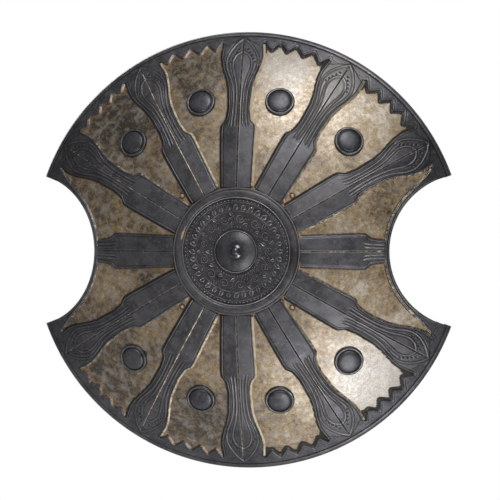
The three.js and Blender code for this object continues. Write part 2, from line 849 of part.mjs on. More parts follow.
// A carrying ring that hangs in its staple, and the staple
function ringPieces(side) {
  const place = side * ringOffset;
  const boardY = forward(boardBack, Math.hypot(place, ringOffset));
  const eye = boardY + ringAxisRise;
  const chordDrop = stapleWireRadius * Math.tan(Math.PI / ringSegments);
  const hang = stapleHalfGap - stapleWireRadius - ringWireRadius - chordDrop - seatGap;
  const wireZ = ringOffset - hang;
  const ring = new THREE.TorusGeometry(ringRadius, ringWireRadius, wireSides, ringSegments);
  ring.rotateX(Math.PI / 2).translate(place, eye, wireZ - ringRadius);

  const legs = [];
  const arcSteps = 4;
  legs.push([boardY - stapleLegDepth, -stapleHalfGap], [boardY, -stapleHalfGap]);
  for (let i = 0; i <= arcSteps; i += 1) {
    const angle = (Math.PI * i) / arcSteps;
    legs.push([
      boardY + stapleRise + stapleHalfGap * Math.sin(angle),
      -stapleHalfGap * Math.cos(angle),
    ]);
  }
  legs.push([boardY, stapleHalfGap], [boardY - stapleLegDepth, stapleHalfGap]);
  const points = legs.map(([y, z]) => new THREE.Vector3(place, y, ringOffset + z));
  const wire = [];
  for (let i = 0; i < wireSides; i += 1) {
    const angle = (2 * Math.PI * i) / wireSides;
    wire.push(new THREE.Vector2(Math.cos(angle), Math.sin(angle)).multiplyScalar(stapleWireRadius));
  }
  const staple = new THREE.ExtrudeGeometry(new THREE.Shape(wire), {
    steps: stapleSteps,
    bevelEnabled: false,
    extrudePath: new THREE.CatmullRomCurve3(points),
  });
  const word = side < 0 ? "left" : "right";
  return [
    piece(`carry_ring_${word}`, toSolid(ring), brass),
    piece(`ring_staple_${word}`, toSolid(staple), brass),
  ];
}

// A sub-assembly that holds its pieces
function assembly(...pieces) {
  const group = new THREE.Group();
  group.add(...pieces.flat());
  return group;
}

const board = assembly(plankPieces());
const face = assembly(facingPiece(), ribPieces(), rimPieces());
face.add(biteBand("bite_band_left", -1), biteBand("bite_band_right", 1));
const hub = assembly(hubPieces());
const roundels = assembly(roundelPieces());
const forearmStrap = strapSolid(
  strapRivetOffset,
  forearmStrapWidth,
  forearmStrapThickness,
  forearmStrapRise,
);
const handGrip = strapSolid(-strapRivetOffset, gripWidth, gripThickness, gripRise);
const backFittings = assembly(
  piece("forearm_strap", forearmStrap, hide),
  piece("hand_grip", handGrip, hide),
  padPiece(),
  strapFasteners(),
  ringPieces(-1),
  ringPieces(1),
);

const shield = new THREE.Group();
shield.add(board, face, hub, roundels, backFittings);

export default shield;
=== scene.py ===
"""Looks of a round, domed shield with a bite in each side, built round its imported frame.

The shield stands upright: +Z is up, the face looks along -Y, and +X is on the right of someone who
looks at the face. Lengths are metres. A level is a height in front of the bowl's curve, and a place
on the face is given by its x and z.
"""
import logging
from abc import ABC, abstractmethod
from dataclasses import dataclass, field, replace
from enum import Enum
from math import asin, atan2, cos, exp, hypot, pi, radians, sin, sqrt
from typing import Any, Callable, Mapping, Sequence, Union

import bpy
import numpy as np
from mathutils import Matrix, Vector


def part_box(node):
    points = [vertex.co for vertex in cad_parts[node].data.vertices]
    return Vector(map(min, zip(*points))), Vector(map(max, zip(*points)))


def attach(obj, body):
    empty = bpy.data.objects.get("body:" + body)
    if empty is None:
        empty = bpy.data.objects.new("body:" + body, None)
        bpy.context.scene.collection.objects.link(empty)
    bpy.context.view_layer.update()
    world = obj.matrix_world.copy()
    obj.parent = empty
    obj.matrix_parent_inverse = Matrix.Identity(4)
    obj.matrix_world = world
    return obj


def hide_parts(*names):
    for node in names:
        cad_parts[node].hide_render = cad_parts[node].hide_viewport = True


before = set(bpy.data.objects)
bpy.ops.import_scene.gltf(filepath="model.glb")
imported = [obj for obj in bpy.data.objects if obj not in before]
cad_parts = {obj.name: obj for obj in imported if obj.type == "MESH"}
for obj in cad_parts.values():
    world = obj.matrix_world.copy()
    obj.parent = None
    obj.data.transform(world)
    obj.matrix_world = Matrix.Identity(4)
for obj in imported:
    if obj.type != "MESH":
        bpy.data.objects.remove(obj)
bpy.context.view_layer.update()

log = logging.getLogger("shield")
Array = np.ndarray
Socket = bpy.types.NodeSocket
Piece = bpy.types.Object
Material = bpy.types.Material
Colour = tuple[float, float, float, float]
Pairs = Sequence[tuple[float, float]]
Spots = Sequence[tuple[float, float, float, float]]
Line = tuple[float, float, float]
Masks = dict[str, Array]
Value = Union[Socket, float]
Tint = Union[Socket, Colour]
Place = Union[Socket, Sequence[float]]

SHIELD_BODY = "shield"
HOUR_COUNT = 12
HOUR_STEP = 2 * pi / HOUR_COUNT
WINDOW_HOURS = (0.5, 1.5, 4.5, 5.5, 6.5, 7.5, 10.5, 11.5)
UPPER_HOURS = (2, 1, 0, -1, -2)
FULL_RELIEF = 0.0006


def hour_angle(hour: float) -> float:
    """Angle from +X of a clock hour on the face."""
    return pi / 2 - HOUR_STEP * hour


def smooth(value: Array) -> Array:
    """A soft step that rises from 0 to 1 as the value does."""
    t = np.clip(value, 0, 1)
    return t * t * (3 - 2 * t)


def angle_between(a: Array, b: Array, opposite: Array) -> Array:
    """The angle between two sides of a triangle, from the length of its third side."""
    cosine = (np.square(a) + np.square(b) - np.square(opposite)) / (2 * a * b)
    return np.arccos(np.clip(cosine, -1, 1))


def raised_line(off: Array, line: Line) -> Array:
    """Height of a soft raised or sunk line, given by its place, its half width and its height."""
    place, half, height = line
    return height * smooth(1 - np.abs(off - place) / half)


def inner_means(line: Array) -> Array:
    """The inner points of a line, each moved halfway to the middle of its neighbours."""
    return line[:-2] * 0.25 + line[1:-1] * 0.5 + line[2:] * 0.25


@dataclass(frozen=True)
class Bowl:
    """The shield's curve, its layers and the places that all its pieces share."""

    radius: float = 0.450
    depth: float = 0.130
    board_back: float = 0.0018
    board_front: float = 0.0098
    facing_back: float = 0.0101
    facing_front: float = 0.0109
    frame_back: float = 0.0112
    frame_front: float = 0.0138
    bite_half_mouth: float = 0.154
    bite_depth: float = 0.1218
    bite_wall: float = 0.002
    rivet_offset: float = 0.111

    @property
    def sphere(self) -> float:
        """Radius of the sphere that the bowl is a cap of."""
        return (self.radius**2 + self.depth**2) / (2 * self.depth)

    @property
    def mouth_place(self) -> float:
        """Distance of the horns' tips from the upright mid line."""
        return sqrt(self.radius**2 - self.bite_half_mouth**2)

    @property
    def bite_radius(self) -> float:
        """Radius of the circle of a bite."""
        return (self.bite_half_mouth**2 + self.bite_depth**2) / (2 * self.bite_depth)

    @property
    def bite_place(self) -> float:
        """Distance of a bite circle's centre from the axis."""
        return self.mouth_place - self.bite_depth + self.bite_radius

    def dome(self, radius: Array) -> Array:
        """Height of the curve over the rim's plane, positive towards the front."""
        inside = np.maximum(self.sphere**2 - np.square(radius), 0)
        return np.sqrt(inside) - (self.sphere - self.depth)

    def forward(self, level: Array, radius: Array) -> Array:
        """The y of a level at a distance from the axis."""
        return -(level + self.dome(radius))

    def place(self, x: Array, z: Array, level: Array) -> Array:
        """Points on a level at places on the face, with one more dimension than the places."""
        y = self.forward(level, np.hypot(x, z))
        return np.stack(np.broadcast_arrays(x, y, z), axis=-1)

    def seat(self, level: float, x: float, z: float) -> Matrix:
        """The turn and place of a fitting that stands square on the curve.

        Args:
            level: Level of the fitting's foot.
            x: Sideways place.
            z: Upright place.

        Returns:
            A matrix that takes the fitting's -Y to the curve's outward direction.
        """
        radius = hypot(x, z)
        outward = Vector((x, -(self.dome(radius) + self.sphere - self.depth), z)).normalized()
        turn = Vector((0, -1, 0)).rotation_difference(outward).to_matrix().to_4x4()
        return Matrix.Translation((x, float(self.forward(level, radius)), z)) @ turn

    def board_depth(self, radius: float) -> float:
        """Depth square to the curve from the frame's seat to the board's back."""
        slope = (self.dome(radius) + self.sphere - self.depth) / self.sphere
        return (self.frame_back - self.board_back) * float(slope)


def face_point(angle: float, along: Array, across: Array) -> tuple[Array, Array]:
    """The x and z of a point given by its place along and across a direction on the face.

    Args:
        angle: The direction.
        along: Places along it.
        across: Places across it.

    Returns:
        The x and the z.
    """
    x = along * cos(angle) - across * sin(angle)
    z = along * sin(angle) + across * cos(angle)
    return x, z


def strap_place(x: Array, z: Array, hour: float) -> tuple[Array, Array]:
    """The places of a point along and across the direction of an hour."""
    angle = hour_angle(hour)
    return x * cos(angle) + z * sin(angle), z * cos(angle) - x * sin(angle)


def flat_points(outline: Array) -> Array:
    """The x and z of points that are given by angle and radius."""
    angle, radius = outline.T
    return np.stack([radius * np.cos(angle), radius * np.sin(angle)], 1)


class Skin:
    """Corners, faces and masks of a mesh in the making."""

    def __init__(self) -> None:
        """Starts with nothing."""
        self.points: list[Array] = []
        self.faces: list[tuple[int, ...]] = []
        self.masks: dict[str, list[Array]] = {}
        self.count = 0

    def _store(self, points: Array, masks: Masks) -> int:
        """Adds corners and their masks, and returns the first one's index.

        Args:
            points: The corners.
            masks: A number for each corner, by name.

        Returns:
            The first corner's index.
        """
        flat = np.asarray(points, float).reshape(-1, 3)
        start = self.count
        for name, value in masks.items():
            held = self.masks.setdefault(name, [np.zeros(start)] if start else [])
            held.append(np.broadcast_to(np.asarray(value, float), points.shape[:-1]).ravel())
        for name, held in self.masks.items():
            if name not in masks:
                held.append(np.zeros(len(flat)))
        self.points.append(flat)
        self.count += len(flat)
        return start

    def _weave(self, index: Array, rows_close: bool, columns_close: bool) -> None:
        """Adds the faces between neighbours in a grid of corners, whose rows or columns may close.

        Args:
            index: The corners' indices, row by row.
            rows_close: True if the last row joins the first.
            columns_close: True if the last column joins the first.
        """
        beside = np.roll(index, -1, axis=1)
        quads = np.stack([index, beside, np.roll(beside, -1, 0), np.roll(index, -1, 0)], axis=-1)
        quads = quads[: None if rows_close else -1, : None if columns_close else -1]
        self.faces.extend(map(tuple, quads.reshape(-1, 4).tolist()))

    def loft(self, grid: Array, masks: Masks, ring: bool = False) -> None:
        """Adds a closed tube over sections that are the rows of a grid.

        Args:
            grid: Points of shape (sections, corners, 3); each section is a closed loop.
            masks: A number for each corner, by name.
            ring: True if the last section joins the first, and False if both ends are capped.
        """
        sections, corners = grid.shape[:2]
        index = np.arange(sections * corners).reshape(sections, corners) + self._store(grid, masks)
        self._weave(index, ring, True)
        if not ring:
            self.faces += [tuple(index[0][::-1].tolist()), tuple(index[-1].tolist())]

    def revolve(self, profile: Pairs, segments: int, masks: Masks) -> None:
        """Adds a turned solid about the Y axis.

        Args:
            profile: Distances from the axis and y, closed on itself or from the axis to the axis.
            segments: How many steps go round.
            masks: A number for each point of the profile, by name.
        """
        line = np.asarray(profile, float)
        turn = np.linspace(0, 2 * pi, segments, endpoint=False)[:, None]
        off_axis = line[:, 0] >= 1e-9
        out, y = line[off_axis].T
        grid = np.stack(np.broadcast_arrays(np.cos(turn) * out, y, np.sin(turn) * out), axis=-1)
        spread = {name: np.broadcast_to(mask, len(line)) for name, mask in masks.items()}
        start = self._store(grid, {name: mask[off_axis] for name, mask in spread.items()})
        index = np.arange(grid[..., 0].size).reshape(grid.shape[:2]) + start
        closed = bool(off_axis.all())
        self._weave(index, True, closed)
        if closed:
            return
        for end, row in ((0, index[:, 0]), (-1, index[:, -1])):
            tip = np.array([[0, line[end, 1], 0]])
            pole = self._store(tip, {name: mask[end] for name, mask in spread.items()})
            for a, b in zip(row.tolist(), np.roll(row, -1).tolist()):
                self.faces.append((a, b, pole) if end == 0 else (b, a, pole))

    def arrays(self) -> tuple[Array, list[tuple[int, ...]]]:
        """All corners, and the faces turned so that they point out of the solid.

        Returns:
            The corners and the faces.
        """
        points = np.concatenate(self.points)
        quads = np.array([f for f in self.faces if len(f) == 4])
        volume = 0.0
        if len(quads):
            a, b, c, d = (points[quads[:, i]] for i in range(4))
            volume += np.einsum("ij,ij->", a, np.cross(b, c)) + np.einsum("ij,ij->", a, np.cross(c, d))
        for f in self.faces:
            if len(f) != 4:
                fan = points[list(f)]
                volume += np.einsum("j,ij->", fan[0], np.cross(fan[1:-1], fan[2:]))
        faces = self.faces if volume > 0 else [f[::-1] for f in self.faces]
        return points, faces


class Slot(Enum):
    """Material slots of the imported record."""

    WOOD = "board_wood"
    GOLD = "gold_facing"
    FRAME = "dark_frame"
    BOSS = "dark_boss"
    RUST = "rusty_rivet"
    BRASS = "old_brass"
    STRAP = "strap_leather"
    PAD = "pad_leather"


class Wiring:
    """A node tree that is being wired."""

    def __init__(self, tree: bpy.types.NodeTree) -> None:
        """Takes the tree to wire."""
        self.tree = tree

    def node(self, kind: str, inputs: Mapping | None = None, **settings: Any) -> bpy.types.Node:
        """Adds a node.

        Args:
            kind: The node's type.
            inputs: A value or a socket to link, for each input by name or index.
            **settings: The node's own properties.

        Returns:
            The node.
        """
        made = self.tree.nodes.new(kind)
        for name, value in settings.items():
            setattr(made, name, value)
        for key, value in (inputs or {}).items():
            self.feed(made.inputs[key], value)
        return made

    def feed(self, socket: Socket, value: Any) -> None:
        """Links a socket to an input, or sets the input's own value.

        Args:
            socket: The input.
            value: A socket or a value.
        """
        if isinstance(value, Socket):
            self.tree.links.new(value, socket)
        else:
            socket.default_value = value

    def math(self, operation: str, a: Value, b: Value = 0.0) -> Socket:
        """The result of a math node on two values."""
        return self.node("ShaderNodeMath", {0: a, 1: b}, operation=operation).outputs[0]

    def times(self, a: Value, b: Value) -> Socket:
        """One value times another."""
        return self.math("MULTIPLY", a, b)

    def plus(self, a: Value, b: Value) -> Socket:
        """The sum of two values."""
        return self.math("ADD", a, b)

    def minus(self, a: Value, b: Value) -> Socket:
        """One value less another."""
        return self.math("SUBTRACT", a, b)

    def over(self, a: Value, b: Value) -> Socket:
        """One value divided by another."""
        return self.math("DIVIDE", a, b)

    def most(self, a: Value, b: Value) -> Socket:
        """The greater of two values."""
        return self.math("MAXIMUM", a, b)

    def vector_math(self, operation: str, a: Place, b: Place = (0, 0, 0)) -> Socket:
        """The result of a vector math node on two vectors."""
        return self.node("ShaderNodeVectorMath", {0: a, 1: b}, operation=operation).outputs[0]

    def mix(self, factor: Value, a: Tint, b: Tint) -> Socket:
        """A colour between two colours."""
        return self.node("ShaderNodeMix", {0: factor, 6: a, 7: b}, data_type="RGBA").outputs[2]

    def ramp(self, value: Value, low: float, high: float, to: tuple[float, float] = (0.0, 1.0)) -> Socket:
        """A value taken smoothly from one range to another, and kept in it."""
        inputs = {0: value, 1: low, 2: high, 3: to[0], 4: to[1]}
        return self.node("ShaderNodeMapRange", inputs, interpolation_type="SMOOTHSTEP").outputs[0]

    def noise(
        self, place: Place, scale: Value, detail: float, rough: float, distort: float = 0.0
    ) -> Socket:
        """The value of a noise texture."""
        inputs = {"Vector": place, "Scale": scale, "Detail": detail, "Roughness": rough}
        return self.node("ShaderNodeTexNoise", {**inputs, "Distortion": distort}).outputs[0]

    def mask(self, name: str) -> Socket:
        """A mask that the mesh holds, or 0 where it holds none."""
        return self.node("ShaderNodeAttribute", attribute_name=name).outputs["Fac"]

    def bump(self, height: Socket, distance: float, strength: float = 1.0) -> Socket:
        """The normal of a surface with a height on it."""
        inputs = {"Strength": strength, "Distance": distance, "Height": height}
        return self.node("ShaderNodeBump", inputs).outputs[0]


class ShaderGroup:
    """A node group with named inputs and outputs that several materials place."""

    def __init__(self, name: str, inputs: Mapping[str, float], outputs: Sequence[str]) -> None:
        """Makes the group's sockets; its body is wired by the caller.

        Args:
            name: The group's name.
            inputs: Names and default values of its number inputs.
            outputs: Names of its number outputs.
        """
        self.tree = bpy.data.node_groups.new(name, "ShaderNodeTree")
        for label, value in inputs.items():
            socket = self.tree.interface.new_socket(label, in_out="INPUT", socket_type="NodeSocketFloat")
            socket.default_value = value
        for label in outputs:
            self.tree.interface.new_socket(label, in_out="OUTPUT", socket_type="NodeSocketFloat")
        self.wiring = Wiring(self.tree)
        self.given = self.wiring.node("NodeGroupInput").outputs
        self.result = self.wiring.node("NodeGroupOutput").inputs

    def put(self, wiring: Wiring, **inputs: Any) -> bpy.types.NodeOutputs:
        """Places the group in a material; an input's name has underscores for its spaces."""
        named = {key.replace("_", " "): value for key, value in inputs.items()}
        return wiring.node("ShaderNodeGroup", named, node_tree=self.tree).outputs


def object_coordinates(wiring: Wiring) -> Socket:
    """The place on the piece, in metres of the shield's own frame."""
    return wiring.node("ShaderNodeTexCoord").outputs["Object"]


def coordinate_parts(wiring: Wiring) -> bpy.types.NodeOutputs:
    """The x, y and z of the place on the piece."""
    return wiring.node("ShaderNodeSeparateXYZ", {0: object_coordinates(wiring)}).outputs


def away_from(w: Wiring, x: float, z: float) -> Socket:
    """The distance from a place on the front, as seen square on."""
    flat = w.vector_math("MULTIPLY", object_coordinates(w), (1, 0, 1))
    return w.node("ShaderNodeVectorMath", {0: flat, 1: (x, 0, z)}, operation="DISTANCE").outputs["Value"]


def mottle_group() -> ShaderGroup:
    """Cloudy patches at a broad and a fine size, and fine pits.

    Returns:
        The group.
    """
    group = ShaderGroup("mottle", {"Size": 0.02, "Shift": 0.0}, ("Broad", "Fine", "Pits"))
    w = group.wiring
    shift = w.node("ShaderNodeCombineXYZ", {0: group.given["Shift"]}).outputs[0]
    place = w.vector_math("ADD", object_coordinates(w), shift)
    broad_scale = w.over(1.0, group.given["Size"])
    w.feed(group.result["Broad"], w.noise(place, broad_scale, 3.0, 0.55, 0.4))
    fine_scale = w.times(broad_scale, 4.3)
    w.feed(group.result["Fine"], w.noise(place, fine_scale, 6.0, 0.68, 0.7))
    pit_scale = w.times(broad_scale, 9.0)
    cells = w.node("ShaderNodeTexVoronoi", {"Vector": place, "Scale": pit_scale})
    w.feed(group.result["Pits"], w.ramp(cells.outputs["Distance"], 0.0, 0.35, (1.0, 0.0)))
    return group


def wear_group() -> ShaderGroup:
    """Masks of rubbed ridges and of grooves that hold grime, from a signed relief that is broken up by
    noise; where a piece sets a negative relief on walls as painted shade, the groove mask carries that
    shade.

    Returns:
        The group.
    """
    inputs = {"Relief": 0.0, "Size": 0.01, "Ridge Reach": 0.6, "Groove Reach": 0.5}
    group = ShaderGroup("edge_wear", inputs, ("Ridge", "Groove"))
    w = group.wiring
    scale = w.over(1.0, group.given["Size"])
    breakup = w.noise(object_coordinates(w), scale, 5.0, 0.65)
    swing = w.times(w.minus(breakup, 0.5), 0.9)
    high = w.plus(group.given["Relief"], swing)
    low = w.minus(swing, group.given["Relief"])
    w.feed(group.result["Ridge"], w.times(w.ramp(high, 0.25, 0.9), group.given["Ridge Reach"]))
    w.feed(group.result["Groove"], w.times(w.ramp(low, 0.1, 0.8), group.given["Groove Reach"]))
    return group


def grain_group() -> ShaderGroup:
    """A height of fine cast or rolled grain and longer dents.

    Returns:
        The group.
    """
    group = ShaderGroup("grain", {"Size": 0.002, "Dents": 0.3}, ("Height",))
    w = group.wiring
    place = object_coordinates(w)
    scale = w.over(1.0, group.given["Size"])
    fine = w.noise(place, scale, 5.0, 0.7)
    dents = w.noise(place, w.times(scale, 0.12), 3.0, 0.5)
    w.feed(group.result["Height"], w.plus(fine, w.times(dents, group.given["Dents"])))
    return group


def scratch_group() -> ShaderGroup:
    """Thin, short scratches that run two ways.

    Returns:
        The group.
    """
    group = ShaderGroup("scratches", {"Size": 0.01, "Reach": 0.5}, ("Mask",))
    w = group.wiring
    scale = w.over(1.0, group.given["Size"])
    lines = []
    for turn, stretch in ((0.6, (1.0, 1.0, 14.0)), (-0.9, (1.0, 1.0, 10.0)), (2.0, (1.0, 1.0, 12.0))):
        mapping = {"Vector": object_coordinates(w), "Rotation": (0.0, turn, 0.0), "Scale": stretch}
        place = w.node("ShaderNodeMapping", mapping, vector_type="TEXTURE").outputs[0]
        lines.append(w.ramp(w.noise(place, scale, 1.0, 0.5), 0.70, 0.74))
    most = w.most(w.most(lines[0], lines[1]), lines[2])
    w.feed(group.result["Mask"], w.times(most, group.given["Reach"]))
    return group


@dataclass
class Effects:
    """The shader groups that all the finishes draw on."""

    mottle: ShaderGroup = field(default_factory=mottle_group)
    wear: ShaderGroup = field(default_factory=wear_group)
    grain: ShaderGroup = field(default_factory=grain_group)
    scratches: ShaderGroup = field(default_factory=scratch_group)


class Finish(ABC):
    """What every finish shares: one shader, fed by what the finish wires in dress."""

    name: str

    @abstractmethod
    def dress(self, w: Wiring, effects: Effects) -> dict[str, Any]:
        """Wires what feeds the shader, and returns it by the shader's input.

        Args:
            w: The material's wiring.
            effects: The shared shader groups.

        Returns:
            A value or a socket for each input of the shader.
        """

    def material(self, effects: Effects) -> Material:
        """Builds the material.

        Args:
            effects: The shared shader groups.

        Returns:
            The material.
        """
        made = bpy.data.materials.new(self.name)
        made.use_nodes = True
        made.node_tree.nodes.clear()
        w = Wiring(made.node_tree)
        shader = w.node("ShaderNodeBsdfPrincipled", self.dress(w, effects))
        w.node("ShaderNodeOutputMaterial", {"Surface": shader.outputs[0]})
        return made


@dataclass(frozen=True)
class Metal(Finish):
    """A patinated metal: patches of painted highlight and shade, dark grooves, rubbed ridges, gilding on
    its edges and fine grain.
    """

    name: str
    deep: Colour
    main: Colour
    pale: Colour
    rubbed: Colour
    groove: Colour
    edge: Colour
    patch: float
    metallic: float
    roughness: tuple[float, float]
    bump: float
    grain: float
    edge_reach: float = 1.0
    tarnish: Colour = (0.42, 0.24, 0.09, 1.0)
    # Broad spots of x, z, reach and share: painted highlight where the share is positive, painted shade
    # where it is negative.
    patches: Spots = ()

    def patched(self, w: Wiring, colour: Socket) -> Socket:
        """The colour with broad patches: those whose share is positive are painted highlight in the
        rubbed colour, and the others painted shade in the groove colour.

        Args:
            w: The material's wiring.
            colour: The colour so far.

        Returns:
            The new colour.
        """
        for x, z, reach, share in self.patches:
            there = w.ramp(away_from(w, x, z), 0.15 * reach, reach, (abs(share), 0.0))
            colour = w.mix(there, colour, self.rubbed if share > 0 else self.groove)
        return colour

    def dress(self, w: Wiring, effects: Effects) -> dict[str, Any]:
        """Wires what feeds the shader, and returns it by the shader's input.

        Args:
            w: The material's wiring.
            effects: The shared shader groups.

        Returns:
            A value or a socket for each input of the shader.
        """
        mottle = effects.mottle.put(w, Size=self.patch)
        reaches = {"Ridge_Reach": 0.75, "Groove_Reach": 0.65}
        wear = effects.wear.put(w, Relief=w.mask("relief"), Size=self.patch / 2, **reaches)
        scratch = effects.scratches.put(w, Size=self.patch / 12, Reach=0.16)
        colour = w.mix(w.ramp(mottle["Broad"], 0.35, 0.65), self.deep, self.main)
        colour = w.mix(w.ramp(mottle["Fine"], 0.5, 0.75), colour, self.pale)
        # Broad patches of painted highlight and shade.
        colour = self.patched(w, colour)
        colour = w.mix(wear["Groove"], colour, self.groove)
        colour = w.mix(wear["Ridge"], colour, self.rubbed)
        colour = w.mix(scratch["Mask"], colour, self.rubbed)
        # Gilding from the edge mask; on walls that face right the pieces give more of it, as painted
        # highlight.
        spread = w.plus(w.mask("edge"), w.times(w.minus(mottle["Fine"], 0.5), 1.5))
        gilt = w.times(w.ramp(spread, 0.28, 0.90), self.edge_reach)
        tarnished = w.most(w.ramp(mottle["Broad"], 0.50, 0.64, (0.0, 0.7)), w.mask("tarnish"))
        colour = w.mix(gilt, colour, w.mix(tarnished, self.edge, self.tarnish))
        polish = w.most(w.times(wear["Ridge"], 0.3), w.times(w.mask("shine"), 0.55))
        rough = w.ramp(mottle["Fine"], 0.3, 0.7, self.roughness)
        rough = w.times(rough, w.minus(1.0, polish))
        height = effects.grain.put(w, Size=self.grain)["Height"]
        inputs = {"Base Color": colour, "Metallic": self.metallic, "Roughness": rough}
        return inputs | {"Normal": w.bump(height, self.bump)}


@dataclass(frozen=True)
class Facing(Finish):
    """Aged gold sheet: lilac-grey, gold, brown and dark clouds, with warm stain along the frame, painted
    shadow beside it, and painted light and shade in broad spots.
    """

    name: str = "aged_gold"
    dark: Colour = (0.034, 0.028, 0.020, 1.0)
    brown: Colour = (0.115, 0.080, 0.047, 1.0)
    gold: Colour = (0.256, 0.185, 0.097, 1.0)
    pale: Colour = (0.43, 0.390, 0.330, 1.0)
    lilac: Colour = (0.266, 0.240, 0.215, 1.0)
    ochre: Colour = (0.232, 0.149, 0.062, 1.0)
    stain: Colour = (0.31, 0.150, 0.054, 1.0)
    # Colour of the painted shadow beside the frame.
    seam: Colour = (0.020, 0.015, 0.011, 1.0)
    metallic: float = 0.36
    roughness: tuple[float, float] = (0.32, 0.48)
    coat: float = 0.6
    coat_roughness: float = 0.36
    bump: float = 0.00045
    patch: float = 0.052
    # Lighter towards +X and darker towards -X: partly the sheet's own tone, partly painted light from the
    # right.
    side_reach: float = 0.40
    lean: float = 0.055
    # Broad spots of x, z, reach and lightness shift: painted shade where the shift is negative, painted
    # light where it is positive.
    painted_light_spots: Spots = (
        (0.325, 0.095, 0.120, -0.074), (0.330, -0.060, 0.100, -0.050), (0.160, 0.180, 0.120, -0.045),
        (-0.280, 0.280, 0.150, -0.150), (-0.090, 0.370, 0.120, -0.072), (-0.085, -0.365, 0.130, -0.122),
        (-0.250, -0.280, 0.130, -0.058), (-0.310, -0.070, 0.110, 0.055), (0.290, -0.250, 0.130, 0.044),
        (0.085, 0.340, 0.100, 0.034),
    )
    # Painted highlight: whitish patches where the lamps glint, on the lower right and the top windows.
    painted_highlight: Colour = (0.350, 0.334, 0.320, 1.0)
    painted_highlights: Spots = (
        (0.262, -0.275, 0.130, 0.65), (0.088, 0.378, 0.080, 0.50),
    )

    def cloud(self, w: Wiring, effects: Effects) -> Socket:
        """The lightness of the patina: clouds in three sizes, lighter towards +X partly as painted light,
        and broad spots of painted light and shade.

        Args:
            w: The material's wiring.
            effects: The shared shader groups.

        Returns:
            The lightness, from 0 to about 1.
        """
        broad = effects.mottle.put(w, Size=self.patch)
        small = effects.mottle.put(w, Size=self.patch / 6, Shift=3.0)
        sideways = coordinate_parts(w)[0]
        # Lighter towards +X: partly own tone, partly painted light.
        lean = w.ramp(sideways, -self.side_reach, self.side_reach, (-self.lean, self.lean))
        total = w.times(broad["Broad"], 0.32)
        total = w.plus(total, w.times(small["Broad"], 0.34))
        total = w.plus(total, w.times(small["Fine"], 0.34))
        # Spots of painted light and shade.
        for x, z, reach, shift in self.painted_light_spots:
            there = w.ramp(away_from(w, x, z), 0.2 * reach, reach, (shift, 0.0))
            total = w.plus(total, there)
        return w.plus(total, lean)

    def dress(self, w: Wiring, effects: Effects) -> dict[str, Any]:
        """Wires what feeds the shader, and returns it by the shader's input.

        Args:
            w: The material's wiring.
            effects: The shared shader groups.

        Returns:
            A value or a socket for each input of the shader.
        """
        edge = w.mask("edge")
        hue = effects.mottle.put(w, Size=self.patch / 3, Shift=7.0)
        small = effects.mottle.put(w, Size=self.patch / 9, Shift=3.0)
        scratch = effects.scratches.put(w, Size=self.patch / 12, Reach=0.3)
        cloud = self.cloud(w, effects)
        colour = w.mix(w.ramp(cloud, 0.36, 0.46), self.dark, self.brown)
        colour = w.mix(w.ramp(cloud, 0.44, 0.53), colour, self.gold)
        colour = w.mix(w.ramp(cloud, 0.52, 0.64), colour, self.pale)
        sideways = coordinate_parts(w)[0]
        greyness = w.ramp(sideways, -0.25, 0.25, (0.75, 0.40))
        veil = w.times(w.ramp(hue["Broad"], 0.44, 0.70), greyness)
        colour = w.mix(veil, colour, self.lilac)
        colour = w.mix(w.ramp(small["Broad"], 0.52, 0.64, (0.0, 0.5)), colour, self.ochre)
        # Painted highlight where the lamps glint.
        for x, z, reach, share in self.painted_highlights:
            there = w.ramp(away_from(w, x, z), 0.3 * reach, reach, (share, 0.0))
            colour = w.mix(there, colour, self.painted_highlight)
        pitted = w.times(small["Pits"], w.ramp(hue["Fine"], 0.5, 0.6, (0.0, 0.6)))
        colour = w.mix(pitted, colour, self.dark)
        colour = w.mix(scratch["Mask"], colour, self.pale)
        spread = w.plus(edge, w.times(w.minus(hue["Fine"], 0.5), 1.4))
        stain = w.mix(w.ramp(small["Broad"], 0.44, 0.60), self.stain, self.gold)
        colour = w.mix(w.ramp(spread, 0.45, 1.10, (0.0, 0.60)), colour, stain)
        # Painted shadow from the relief mask: near black, with less coat and rougher.
        painted_shadow = w.ramp(w.mask("relief"), 0.45, 0.85, (0.0, 0.95))
        colour = w.mix(painted_shadow, colour, self.seam)
        coat = w.times(w.minus(1.0, painted_shadow), self.coat)
        rough = w.ramp(small["Broad"], 0.3, 0.7, self.roughness)
        grain = effects.grain.put(w, Size=0.0030, Dents=1.3)["Height"]
        rough = w.plus(rough, w.times(painted_shadow, 0.4))
        inputs = {"Base Color": colour, "Metallic": self.metallic, "Roughness": rough}
        inputs |= {"Coat Weight": coat, "Coat Roughness": self.coat_roughness}
        return inputs | {"Normal": w.bump(grain, self.bump)}


